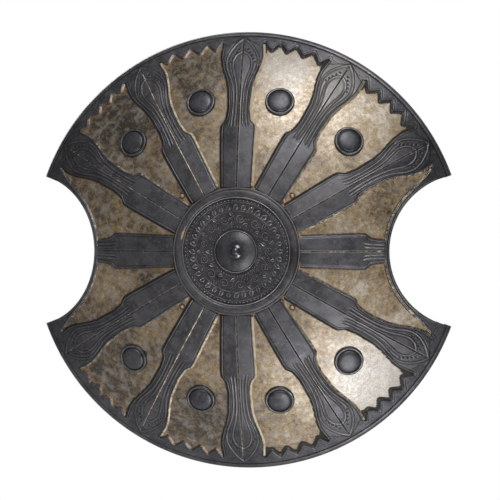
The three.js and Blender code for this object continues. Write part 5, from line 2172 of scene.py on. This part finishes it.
    def make_boss(self) -> None:
        """Builds the domed boss with its raised edge."""
        foot = self.seat - self.plate_height - self.gap
        bore = self.shank_radius + self.gap
        line = rounded(self.boss_shares, 2)
        points = [(out * self.boss_radius, foot - up * self.boss_height) for out, up in line]
        profile = [(self.boss_radius, foot), (bore, foot), (bore, points[0][1]), *points]
        relief = [0.0] * 3 + [
            0.7 if 0.95 < out < 0.98 else (-0.9 if 0.90 < out <= 0.93 else 0.0) for out, _ in line
        ]
        shine = [1.0] * 3 + [float(smooth((self.knob_share - out) / 0.06)) for out, _ in line]
        boss = turned_piece("boss_cast", profile, self.finishes.boss_metal, 128, relief, shine=shine)
        boss = self.tools.beaten.bake(boss, self.finishes.boss_metal, Depth=0.0004, Size=0.016, Seed=7.0)
        settle(boss, ["centre_boss"])

    def make_rivet(self) -> None:
        """Builds the centre rivet with its nipple and tail, and the rove under the tail."""
        box_low, box_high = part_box("centre_rivet")
        rove_low, rove_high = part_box("centre_rove")
        head = box_low.y + self.nipple_height
        tail = box_high.y - self.tail_height
        top = box_low.y + self.crown_drop
        nipple = [(out * self.nipple_radius, top + fall) for out, fall in self.crown_line]
        nipple.append((self.nipple_radius, head))
        profile = [
            *nipple, (self.shank_radius, head), (self.shank_radius, tail),
            (self.nipple_radius, tail), (0.96 * self.nipple_radius, tail + 0.0010),
            (0.72 * self.nipple_radius, box_high.y - 0.0003), (0.0, box_high.y),
        ]
        relief = [0.15, 0.1, 0.0, 0.0, 0.0, 0.0, -0.5, -0.9, 0, 0, 0, 0.5, 0.7, 0.3]
        metal = self.finishes.boss_metal
        rivet = turned_piece("centre_rivet_turned", profile, metal, 64, relief, shine=0.45)
        settle(rivet, ["centre_rivet"])
        bore, ends = self.shank_radius + self.gap, (rove_low.y, rove_high.y)
        rove = rove_piece("centre_rove", self.rove_radius, bore, ends, self.finishes.brass, 48)
        settle(rove, ["centre_rove"])

    def build(self) -> None:
        """Builds every piece of the hub."""
        self.make_ring()
        self.make_plate()
        self.make_boss()
        self.make_rivet()


def rove_piece(
    node: str, outer: float, inner: float, ends: tuple[float, float], material: Material, segments: int,
    matrix: Matrix | None = None,
) -> Piece:
    """Makes a rove with soft corners.

    Args:
        node: Its CAD node.
        outer: Its radius.
        inner: Its bore's radius.
        ends: The y of its two flat sides.
        material: Its finish.
        segments: How many steps go round.
        matrix: The seat, or None to leave it on the shield's axis.

    Returns:
        The rove.
    """
    low, high = ends
    soft = (high - low) * 0.3
    profile = [(inner, low), (outer - soft, low), (outer, low + soft), (outer, high - soft)]
    profile += [(outer - soft, high), (inner + soft, high), (inner, high - soft)]
    relief = [0, 0, 0.3, 0.5, 0.8, 0.3, -0.8]
    return turned_piece(f"{node}_stamped", profile, material, segments, relief, matrix, 30.0)


@dataclass
class Roundels(SubAssembly):
    """The eight domed discs, each with a shank clenched behind the board."""

    radius: float = 0.030
    height: float = 0.0095
    centre_radius: float = 0.311
    shank_radius: float = 0.0035
    tail_radius: float = 0.006
    tail_height: float = 0.0024
    top_shares: Pairs = (
        (0.0, 0.86), (0.20, 0.85), (0.42, 0.80), (0.58, 0.72), (0.69, 0.62), (0.745, 0.50), (0.765, 0.28),
        (0.795, 0.26), (0.825, 0.42), (0.850, 0.50), (0.905, 0.52), (0.955, 0.45), (1.0, 0.24),
    )
    relief_shares: tuple[float, ...] = (0, 0, 0, 0, 0, 0, -1, -1, -0.4, 0.45, 0.55, 0.2, -0.9)

    def build(self) -> None:
        """Builds the discs, each dented in its own way."""
        edge = self.radius**2 / (2 * self.bowl.sphere)
        tail = self.bowl.board_depth(self.centre_radius) + 0.0012
        profile = [(out * self.radius, -up * self.height) for out, up in self.top_shares]
        profile += [
            (self.radius, edge), (self.shank_radius, 0.0), (self.shank_radius, tail),
            (self.tail_radius, tail), (self.tail_radius * 0.93, tail + self.tail_height * 0.5),
            (self.tail_radius * 0.6, tail + self.tail_height * 0.9), (0.0, tail + self.tail_height),
        ]
        relief = [*self.relief_shares, -0.6, 0, 0, 0, 0.4, 0.6, 0.3]
        for i, hour in enumerate(WINDOW_HOURS):
            x, z = face_point(hour_angle(hour), self.centre_radius, 0.0)
            matrix = self.bowl.seat(self.bowl.frame_back, x, z)
            name, metal = f"roundel_{i + 1}", self.finishes.boss_metal
            disc = turned_piece(f"{name}_cast", profile, metal, 64, relief, matrix)
            disc = self.tools.beaten.bake(disc, metal, Depth=0.0007, Size=0.014, Seed=11.0 + i)
            settle(disc, [name])


@dataclass
class Board(SubAssembly):
    """The nine planks of the bowl, seen from behind."""

    radius: float = 0.4477
    flange_step: float = 0.431
    flange_inner: float = 0.4328
    bite_lap: float = 0.009
    joint_gap: float = 0.0003
    soft_edge: float = 0.0006
    near_roundel: float = 0.0805
    far_roundel: float = 0.2199

    def joints(self) -> list[float]:
        """Places of the upright joints on the right side, outwards.

        Returns:
            Their places.
        """
        b = self.bowl
        return [
            self.near_roundel / 2, (b.rivet_offset + self.far_roundel) / 2,
            b.mouth_place - b.bite_depth + self.bite_lap,
        ]

    def bite_edge(self, z: Array) -> Array:
        """Distance of the cut edge from the upright mid line at heights beside a bite.

        Args:
            z: The heights.

        Returns:
            The distance at each of them.
        """
        b = self.bowl
        cut = b.bite_radius + b.bite_wall + self.joint_gap
        inside = cut**2 - np.square(z)
        return np.where(inside > 0, b.bite_place - np.sqrt(np.clip(inside, 0, None)), 1.0)

    def plank(
        self, name: str, left: float, right: float, low: Callable, high: Callable, shift: float
    ) -> None:
        """Builds one plank.

        Args:
            name: Its CAD node.
            left: Its left edge.
            right: Its right edge.
            low: The lower end as a function of x and of the flange's radius.
            high: The upper end, likewise.
            shift: How far its grain is moved, so that no two planks match.
        """
        b = self.bowl
        x_line = np.linspace(left + self.joint_gap / 2, right - self.joint_gap / 2, 17)
        ends = (self.radius, self.flange_inner, self.flange_step)
        lower = [low(x_line, r) for r in ends]
        upper = [high(x_line, r) for r in ends]
        middle = [lower[2] + (upper[2] - lower[2]) * t for t in np.linspace(0, 1, 61)[1:-1]]
        z_rows = np.array([*lower, *middle, *upper[::-1]])
        flange = np.array([1, 1] + [0] * (len(z_rows) - 4) + [1, 1], bool)
        x_rows = np.broadcast_to(x_line, z_rows.shape)
        if left * right > 0:
            inner, outer = sorted((abs(left), abs(right)))
            outer -= self.joint_gap / 2
            limit = np.minimum(outer, self.bite_edge(z_rows))
            share = (np.abs(x_rows) - inner) / (outer - inner)
            x_rows = np.sign(left) * (inner + share * (limit - inner))
        radius = np.hypot(x_rows, z_rows)
        back_y = b.forward(b.board_back, radius)
        back_y = np.where(flange[:, None] & (z_rows != 0), -b.board_back, back_y)
        front = np.stack([x_rows, b.forward(b.board_front, radius), z_rows], -1)
        back = np.stack([x_rows, back_y, z_rows], -1)[:, ::-1]
        back[:, [0, -1], 1] -= self.soft_edge
        grid = np.concatenate([front, back], 1)
        relief = np.zeros(grid.shape[:2])
        relief[:, [17, -1]] = 1.0
        masks = {"relief": relief, "shift": shift}
        settle(lofted(f"{name}_board", grid, masks, self.finishes.wood, 30), [name])

    def build(self) -> None:
        """Builds the five long planks and the four short ones at the horns."""
        joints = self.joints()
        edges = [-joints[2], -joints[1], -joints[0], joints[0], joints[1], joints[2]]

        def arc(x: Array, radius: float) -> Array:
            """Height of a circle about the axis at places x."""
            return np.sqrt(np.clip(radius**2 - np.square(x), 0, None))

        for i in range(5):
            shift = 0.37 * (i + 1)
            self.plank(f"plank_{i + 1}", edges[i], edges[i + 1], lambda x, r: -arc(x, r), arc, shift)
        cut = self.bowl.bite_radius + self.bowl.bite_wall + self.joint_gap

        def bite_line(x: Array, radius: float) -> Array:
            """Height of a bite's upper edge at places x, the same for every radius."""
            return np.sqrt(np.clip(cut**2 - (self.bowl.bite_place - np.abs(x)) ** 2, 0, None))

        tip = self.bowl.mouth_place - 0.0045
        for i, (word, side) in enumerate((("left", -1), ("right", 1))):
            left, right = sorted((side * joints[2], side * tip))
            self.end_plank(f"plank_end_upper_{word}", left, right, 1, bite_line, arc, 0.19 + i)
            self.end_plank(f"plank_end_lower_{word}", left, right, -1, bite_line, arc, 0.53 + i)

    def end_plank(
        self, name: str, left: float, right: float, side: int, low: Callable, high: Callable, shift: float
    ) -> None:
        """Builds one short plank at a horn, above or below a bite.

        Args:
            name: Its CAD node.
            left: Its left edge.
            right: Its right edge.
            side: 1 above the bite and -1 below it.
            low: The bite's edge as a function of x and radius.
            high: The rim's arc, likewise.
            shift: How far its grain is moved.
        """
        b = self.bowl
        x_line = np.linspace(left, right, 25)
        bottom = low(x_line, 0.0)
        top = np.maximum(high(x_line, self.flange_step), bottom)
        levels = [bottom + (top - bottom) * t for t in np.linspace(0, 1, 15)]
        levels += [np.maximum(high(x_line, r), bottom) for r in (self.flange_inner, self.radius)]
        z_rows = np.array(levels)
        x_rows = np.broadcast_to(x_line, z_rows.shape)
        radius = np.hypot(x_rows, z_rows)
        front_y = b.forward(b.board_front, radius)
        on_flange = radius > (self.flange_inner + self.flange_step) / 2
        back_y = np.where(on_flange, -b.board_back, b.forward(b.board_back, radius))
        front = np.stack([x_rows, front_y, z_rows * side], -1).transpose(1, 0, 2)
        back = np.stack([x_rows, back_y, z_rows * side], -1).transpose(1, 0, 2)[:, ::-1]
        grid = np.concatenate([front, back], 1)
        settle(lofted(f"{name}_board", grid, {"shift": shift}, self.finishes.wood, 30), [name])


@dataclass
class Harness(SubAssembly):
    """What the arm uses behind the bowl: straps, pad, rivets and roves."""

    strap_size: tuple[float, float, float] = (0.070, 0.004, 0.084)
    grip_size: tuple[float, float, float] = (0.032, 0.006, 0.046)
    tab_reach: float = 0.024
    stitch_inset: float = 0.0045
    stitch_spacing: float = 0.0062
    crease_depth: float = 0.0003
    pad_half_length: float = 0.072
    pad_half_height: float = 0.058
    pad_thickness: float = 0.010
    pad_corner_share: float = 0.45
    pad_seam: tuple[float, float] = (0.952, 0.66)
    head_radius: float = 0.0055
    head_height: float = 0.003
    shank_radius: float = 0.003
    tail_radius: float = 0.005
    rove_radius: float = 0.008
    rove_thickness: float = 0.0016
    tail_height: float = 0.0024
    gap: float = 0.0003
    line_shares: Pairs = (
        (0.86, 0), (0.79, 0.06), (0.775, 0.2), (0.765, 0.42), (0.71, 0.66), (0.57, 0.86), (0.33, 0.975),
        (0, 1),
    )

    def back_seat(self, radius: Array) -> Array:
        """Clearance that pieces behind the board keep over its facets in the CAD model.

        Args:
            radius: Distances from the axis.

        Returns:
            The clearance at each of them.
        """
        ring_flat = 0.064**2 / (8 * self.bowl.sphere)
        turn_flat = np.square(radius) / self.bowl.sphere * (1 - cos(pi / 40))
        return self.gap + ring_flat + turn_flat

    def strap_seat(self, width: float) -> float:
        """How far a strap's middle stands off the board, so that its edges clear it."""
        reach = sqrt(2) * self.bowl.rivet_offset + self.tab_reach
        return float(self.back_seat(reach)) + (width / 2) ** 2 / (2 * self.bowl.sphere)

    def strap_line(self, thickness: float, rise: float, seat: float, steps: int) -> Array:
        """The middle line of a strap, as heights off its seat and places along it.

        Args:
            thickness: The strap's thickness.
            rise: How far it stands off in the middle.
            seat: How far its tabs stand off.
            steps: How many steps go between two points.

        Returns:
            The line's points.
        """
        offset = self.bowl.rivet_offset

        def on_board(place: float) -> float:
            """Height of the board at a place along the strap."""
            return place**2 / (2 * self.bowl.sphere) + seat

        half = [(on_board(p), p) for p in (offset + self.tab_reach, offset + self.tab_reach / 2, offset)]
        for up, out in self.line_shares:
            place = up * offset
            foot = on_board(place)
            half.append((foot + out * (rise - foot), place))
        whole = half + [(h, -p) for h, p in half[-2::-1]]
        return np.array(rounded(whole, steps)) + np.array([thickness / 2, 0])

    def make_strap(self, node: str, place: float, size: tuple[float, float, float]) -> None:
        """Builds a strap with rounded ends, skived edges, creases and two rows of stitches.

        Args:
            node: Its CAD node.
            place: Its place across the shield.
            size: Its width, its thickness and how far it stands off the board in the middle.
        """
        b, name = self.bowl, f"{node}_sewn"
        width, thickness, rise = size
        seat = self.strap_seat(width)
        line = self.strap_line(thickness, rise, seat, 8)
        tangent = np.gradient(line, axis=0)
        tangent /= np.hypot(tangent[:, 0], tangent[:, 1])[:, None]
        normal = np.stack([-tangent[:, 1], tangent[:, 0]], 1)
        if normal[len(normal) // 2, 0] < 0:
            normal = -normal
        run = np.concatenate([[0], np.cumsum(np.hypot(*np.diff(line, axis=0).T))])
        from_end = np.minimum(run, run[-1] - run)
        round_end = width * 0.32
        narrowing = np.sqrt(np.clip(1 - (1 - np.clip(from_end / round_end, 0, 1)) ** 2, 0.04, 1))
        half = width / 2 * (0.62 + 0.38 * narrowing)
        tilt = -asin(place / b.sphere)
        seat_y = float(b.forward(b.board_back, abs(place)))
        axes = np.array([[sin(tilt), cos(tilt), 0], [0, 0, 1], [cos(tilt), -sin(tilt), 0]])
        origin = np.array([place, seat_y, 0])
        corners = self.strap_section()
        grid = np.zeros((len(line), len(corners), 3))
        relief = np.zeros((len(line), len(corners)))
        crease = self.creases(run)
        for j, (share, up, wear) in enumerate(corners):
            lift = up * thickness / 2 + crease * (self.crease_depth if up > 0 else 0)
            flat = line + normal * lift[:, None]
            grid[:, j] = origin + np.column_stack([flat, share * half]) @ axes
            relief[:, j] = wear + (crease * 0.9 if up > 0 else 0)
        masks = {"relief": np.clip(relief, -1, 1)}
        settle(lofted(name, grid, masks, self.finishes.strap, 40), [node])
        for side in (-1, 1):
            inside = from_end > self.tab_reach * 1.6
            edge_share = side * (half - self.stitch_inset)[inside]
            flat = (line + normal * (thickness / 2))[inside]
            word = "inner" if side < 0 else "outer"
            self.sew(f"{name}_stitches_{word}", origin + np.column_stack([flat, edge_share]) @ axes)

    @staticmethod
    def strap_section() -> list[tuple[float, float, float]]:
        """Corners of a strap's section: share of the half width, share of the half thickness, wear.

        Returns:
            The corners, in order round the section.
        """
        half = [(0.99, 0.35, 0.7), (0.94, 0.82, 0.5), (0.84, 1.0, 0.0), (0.78, 0.88, -0.8)]
        half += [(0.72, 1.0, 0.0), (0.4, 1.0, 0.1)]
        under = [(1.0, -0.3, 0.3), (0.95, -0.85, 0.0), (0.85, -1.0, 0.0)]
        left, left_under = ([(-out, up, wear) for out, up, wear in side] for side in (half, under))
        return [*left, (0.0, 1.0, 0.15), *half[::-1], *under, (0.0, -1.0, 0.0), *left_under[::-1]]

    @staticmethod
    def creases(run: Array) -> Array:
        """Fine cross creases where a strap bends, as a signed number along it.

        Args:
            run: Distances along the strap.

        Returns:
            The creases, from -1 to 1.
        """
        wave = np.sin(run * 2 * pi / 0.0057) * np.sin(run * 2 * pi / 0.0313)
        middle = np.exp(-(((run / run[-1]) - 0.5) / 0.33) ** 2)
        return wave * middle

    def sew(self, name: str, points: Array) -> None:
        """Lays a row of stitches along a line of points.

        Args:
            name: The row's name.
            points: The line's points.
        """
        stitch, guide = self.stitch(), guide_line(name, points)
        inputs = {"Stitch": stitch, "Spacing": self.stitch_spacing}
        row = self.tools.stitches.bake(guide, self.finishes.thread, **inputs)
        bpy.data.objects.remove(stitch)
        settle(row)

    def stitch(self) -> Piece:
        """One stitch of thick thread along X at the origin.

        Returns:
            The stitch.
        """
        rows = []
        for t in np.linspace(-1, 1, 6):
            size = 0.00055 * sqrt(max(1 - t * t * 0.85, 0.05))
            ring = np.linspace(0, 2 * pi, 7)[:-1]
            rows.append([(t * 0.0021, size * cos(a), size * sin(a)) for a in ring])
        return lofted("stitch", np.array(rows), {}, self.finishes.thread, 60)

    def make_pad(self) -> None:
        """Builds the forearm pad: drawn-in sides, a sewn channel and a crowned, dimpled middle."""
        offset = self.bowl.rivet_offset
        around = np.linspace(0, 2 * pi, 145)[:-1]
        corner = self.pad_corner_share
        unit_x = np.sign(np.cos(around)) * np.abs(np.cos(around)) ** corner
        unit_z = np.sign(np.sin(around)) * np.abs(np.sin(around)) ** corner
        shares = [(0.02, 0.0), (0.3, 0.0), (0.6, 0.0), (0.9, 0.0), (0.96, 0.03), (0.985, 0.12)]
        shares += [(0.995, 0.25), (1.0, 0.40), (0.995, 0.52), (0.982, 0.62), (0.955, 0.66), (0.93, 0.62)]
        shares += [(0.915, 0.52), (0.90, 0.50), (0.885, 0.54), (0.865, 0.64), (0.83, 0.74), (0.78, 0.82)]
        shares += [(0.71, 0.88), (0.62, 0.93), (0.52, 0.96), (0.40, 0.98), (0.28, 0.99), (0.15, 1.0)]
        shares.append((0.02, 1.0))
        grid = np.zeros((len(shares), len(around), 3))
        relief = np.zeros(grid.shape[:2])

        def on_pad(out: float, rise: Array | float) -> Array:
            """A line round the pad.

            Args:
                out: Its size, as a share of the pad's.
                rise: Its height over the pad's foot.

            Returns:
                The line's points.
            """
            x, z = offset + out * self.pad_half_length * unit_x, out * self.pad_half_height * unit_z
            radius = np.hypot(x, z)
            y = self.bowl.forward(self.bowl.board_back, radius) + self.back_seat(radius) + rise
            return np.stack([x, y, z], -1)

        for i, (out, up) in enumerate(shares):
            wrinkle = np.sin(around * 23 + 4 * np.sin(around * 3)) * exp(-(((out - 0.86) / 0.07) ** 2))
            grid[i] = on_pad(out, up * self.pad_thickness * (1 + 0.05 * wrinkle * (up > 0.3)))
            relief[i] = (-1.0 if 0.89 < out < 0.92 and up > 0.45 else 0.0) + 0.5 * wrinkle * (up > 0.3)
            relief[i] += 0.6 if up > 0.6 and out > 0.94 else 0.0
        masks = {"relief": np.clip(relief, -1, 1)}
        pad = lofted("forearm_pad_stuffed", grid, masks, self.finishes.pad, 60)
        settle(pad, ["forearm_pad"])
        seam, lift = self.pad_seam
        line = on_pad(seam, lift * self.pad_thickness + 0.0002)
        self.sew("forearm_pad_stitches", np.concatenate([line, line[:1]]))

    def make_fasteners(self) -> None:
        """Builds the four strap rivets and their roves."""
        offset = self.bowl.rivet_offset
        for i, (side_x, side_z) in enumerate(((1, 1), (1, -1), (-1, -1), (-1, 1))):
            x, z = side_x * offset, side_z * offset
            width, thickness, _ = self.strap_size if side_x > 0 else self.grip_size
            depth = self.bowl.board_depth(hypot(x, z))
            rove_y = depth + self.strap_seat(width) + thickness + 2 * self.gap
            tail = rove_y + self.rove_thickness + self.gap
            head, tall = self.head_radius, self.head_height
            profile = [
                (0.0, -tall), (0.30 * head, -0.95 * tall), (0.55 * head, -0.78 * tall),
                (0.72 * head, -0.50 * tall), (0.80 * head, -0.22 * tall),
                (1.12 * head, -0.12 * tall), (1.15 * head, 0.0), (self.shank_radius, 0.0),
                (self.shank_radius, tail), (self.tail_radius, tail),
                (0.93 * self.tail_radius, tail + 0.0013), (0.6 * self.tail_radius, tail + 0.0022),
                (0.0, tail + self.tail_height),
            ]
            relief = [1, 1, 0.6, 0, -1, -1, -1, 0, 0, 0, 0.5, 0.7, 0.3]
            matrix = self.bowl.seat(self.bowl.frame_back, x, z)
            node = f"strap_rivet_{i + 1}"
            rivet = turned_piece(f"{node}_peened", profile, self.finishes.rust, 32, relief, matrix)
            settle(rivet, [node])
            node, bore = f"strap_rove_{i + 1}", self.shank_radius + self.gap
            ends = rove_y, rove_y + self.rove_thickness
            rove = rove_piece(node, self.rove_radius, bore, ends, self.finishes.brass, 32, matrix)
            settle(rove, [node])

    def build(self) -> None:
        """Builds the straps, the pad and their fasteners."""
        self.make_strap("forearm_strap", self.bowl.rivet_offset, self.strap_size)
        self.make_strap("hand_grip", -self.bowl.rivet_offset, self.grip_size)
        self.make_pad()
        self.make_fasteners()


@dataclass
class CarryRings(SubAssembly):
    """The two rings for a shoulder strap and the staples that they hang in."""

    ring_wire: float = 0.002
    staple_wire: float = 0.0016
    staple_half_gap: float = 0.005
    staple_rise: float = 0.0065
    leg_depth: float = 0.0045

    def build(self) -> None:
        """Builds both rings and staples."""
        for word in ("left", "right"):
            low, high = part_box(f"carry_ring_{word}")
            middle = (low + high) / 2
            reach = (high.x - low.x) / 2 - self.ring_wire
            turn = np.linspace(0, 2 * pi, 73)[:-1]
            line = np.stack([reach * np.cos(turn), 0 * turn, reach * np.sin(turn)], 1) + np.array(middle)
            ring = self.tools.bar.bake(
                guide_line(f"carry_ring_{word}_forged", line, closed=True), self.finishes.brass,
                Radius=self.ring_wire, Sides=12,
            )
            settle(ring, [f"carry_ring_{word}"], body=f"ring_{word}")
            low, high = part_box(f"ring_staple_{word}")
            x, z = (low.x + high.x) / 2, (low.z + high.z) / 2
            board = high.y - self.staple_wire - self.staple_rise - self.staple_half_gap
            bow = np.linspace(0, pi, 17)
            points = [(x, board - self.leg_depth, z - self.staple_half_gap)]
            top, half_gap = board + self.staple_rise, self.staple_half_gap
            points += [(x, top + half_gap * sin(t), z - half_gap * cos(t)) for t in bow]
            points.append((x, board - self.leg_depth, z + self.staple_half_gap))
            staple = self.tools.bar.bake(
                guide_line(f"ring_staple_{word}_forged", np.array(points)), self.finishes.brass,
                Radius=self.staple_wire, Sides=12,
            )
            settle(staple, [f"ring_staple_{word}"])


@dataclass
class Studio:
    """Camera, lamps, world and floor."""

    azimuth: float = 8.06
    elevation: float = 1.05
    distance: float = 3.405
    frame_width: float = 1.0365
    shift: tuple[float, float] = (0.0081, 0.0005)
    sensor: float = 36.0
    floor_drop: float = 1.9
    floor_half: float = 4.0
    ambient: float = 0.24
    dark_side: float = 0.12
    lamps: tuple[tuple[str, tuple[float, float, float], float, float], ...] = (
        ("upper_key", (0.85, -2.77, 2.80), 1.4, 108.0),
        ("lower_key", (0.92, -1.70, -1.60), 0.75, 29.0), ("rear_fill", (-1.6, 2.8, 1.8), 2.2, 70.0),
    )

    def camera(self) -> None:
        """Sets the camera at the photograph's angle."""
        data = bpy.data.cameras.new("camera")
        data.sensor_width = self.sensor
        data.lens = self.sensor * self.distance / self.frame_width
        data.shift_x, data.shift_y = self.shift
        made = linked("camera", data)
        turn, rise = radians(self.azimuth), radians(self.elevation)
        back = Vector((sin(turn) * cos(rise), -cos(turn) * cos(rise), sin(rise)))
        made.location = back * self.distance
        made.rotation_euler = (-back).to_track_quat("-Z", "Y").to_euler()
        bpy.context.scene.camera = made

    def lamp(self, name: str, place: tuple[float, float, float], size: float, power: float) -> None:
        """Adds a soft square lamp that looks at the shield.

        Args:
            name: The lamp's name.
            place: Where it stands.
            size: Its side.
            power: Its power in watts.
        """
        data = bpy.data.lights.new(name, "AREA")
        data.size = size
        data.energy = power
        made = linked(name, data)
        made.location = place
        made.rotation_euler = (-Vector(place)).to_track_quat("-Z", "Y").to_euler()

    def background(self) -> None:
        """Makes the world: white to the camera, through glass and in reflections from behind."""
        world = bpy.data.worlds.new("studio")
        bpy.context.scene.world = world
        world.use_nodes = True
        world.node_tree.nodes.clear()
        w = Wiring(world.node_tree)
        rays = w.node("ShaderNodeLightPath").outputs
        way = coordinate_parts(w)
        behind = w.times(rays["Is Glossy Ray"], w.ramp(way[1], 0.2, 0.6))
        seen = w.most(rays["Is Camera Ray"], rays["Is Transmission Ray"])
        seen = w.most(seen, behind)
        ambient = w.ramp(way[0], 0.2, 0.8, (self.ambient, self.ambient * self.dark_side))
        strength = w.most(seen, ambient)
        light = w.node("ShaderNodeBackground", {"Color": (1, 1, 1, 1), "Strength": strength})
        w.node("ShaderNodeOutputWorld", {"Surface": light.outputs[0]})

    def floor(self) -> None:
        """Lays a wide pale floor under the shield, which keeps its shadow."""
        half = self.floor_half
        mesh = bpy.data.meshes.new("floor")
        square = ((-half, -half), (half, -half), (half, half), (-half, half))
        corners = [(x, y, -self.floor_drop) for x, y in square]
        mesh.from_pydata(corners, [], [(0, 1, 2, 3)])
        made = linked("floor", mesh)
        material = bpy.data.materials.new("pale_floor")
        material.use_nodes = True
        material.node_tree.nodes.clear()
        w = Wiring(material.node_tree)
        rays = w.node("ShaderNodeLightPath").outputs
        length = w.node("ShaderNodeVectorMath", {0: object_coordinates(w)}, operation="LENGTH")
        away = length.outputs["Value"]
        reach = hypot(self.floor_drop, half)
        fade = w.ramp(away, self.floor_drop, 0.8 * reach, (0.5, 1.0))
        glow = w.times(rays["Is Camera Ray"], fade)
        inputs = {"Base Color": (0.9, 0.9, 0.9, 1), "Roughness": 0.9, "Emission Color": (1, 1, 1, 1)}
        shader = w.node("ShaderNodeBsdfPrincipled", {**inputs, "Emission Strength": glow})
        w.node("ShaderNodeOutputMaterial", {"Surface": shader.outputs[0]})
        mesh.materials.append(material)

    def build(self) -> None:
        """Sets up the whole studio."""
        self.camera()
        self.background()
        self.floor()
        for lamp in self.lamps:
            self.lamp(*lamp)
        bpy.context.scene.view_settings.view_transform = "Standard"


def main() -> None:
    """Builds the shield's looks and the studio."""
    logging.basicConfig(level=logging.INFO, format="%(name)s %(message)s")
    bowl = Bowl()
    finishes = Finishes()
    tools = Tools()
    Studio().build()
    dark_frame = DarkFrame(bowl, finishes, tools)
    dark_frame.build()
    FacingSheet(bowl, finishes, tools, dark_frame).build()
    for kind in (Hub, Roundels, Board, Harness, CarryRings):
        kind(bowl, finishes, tools).build()
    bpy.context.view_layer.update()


if __name__ == "__main__":
    main()
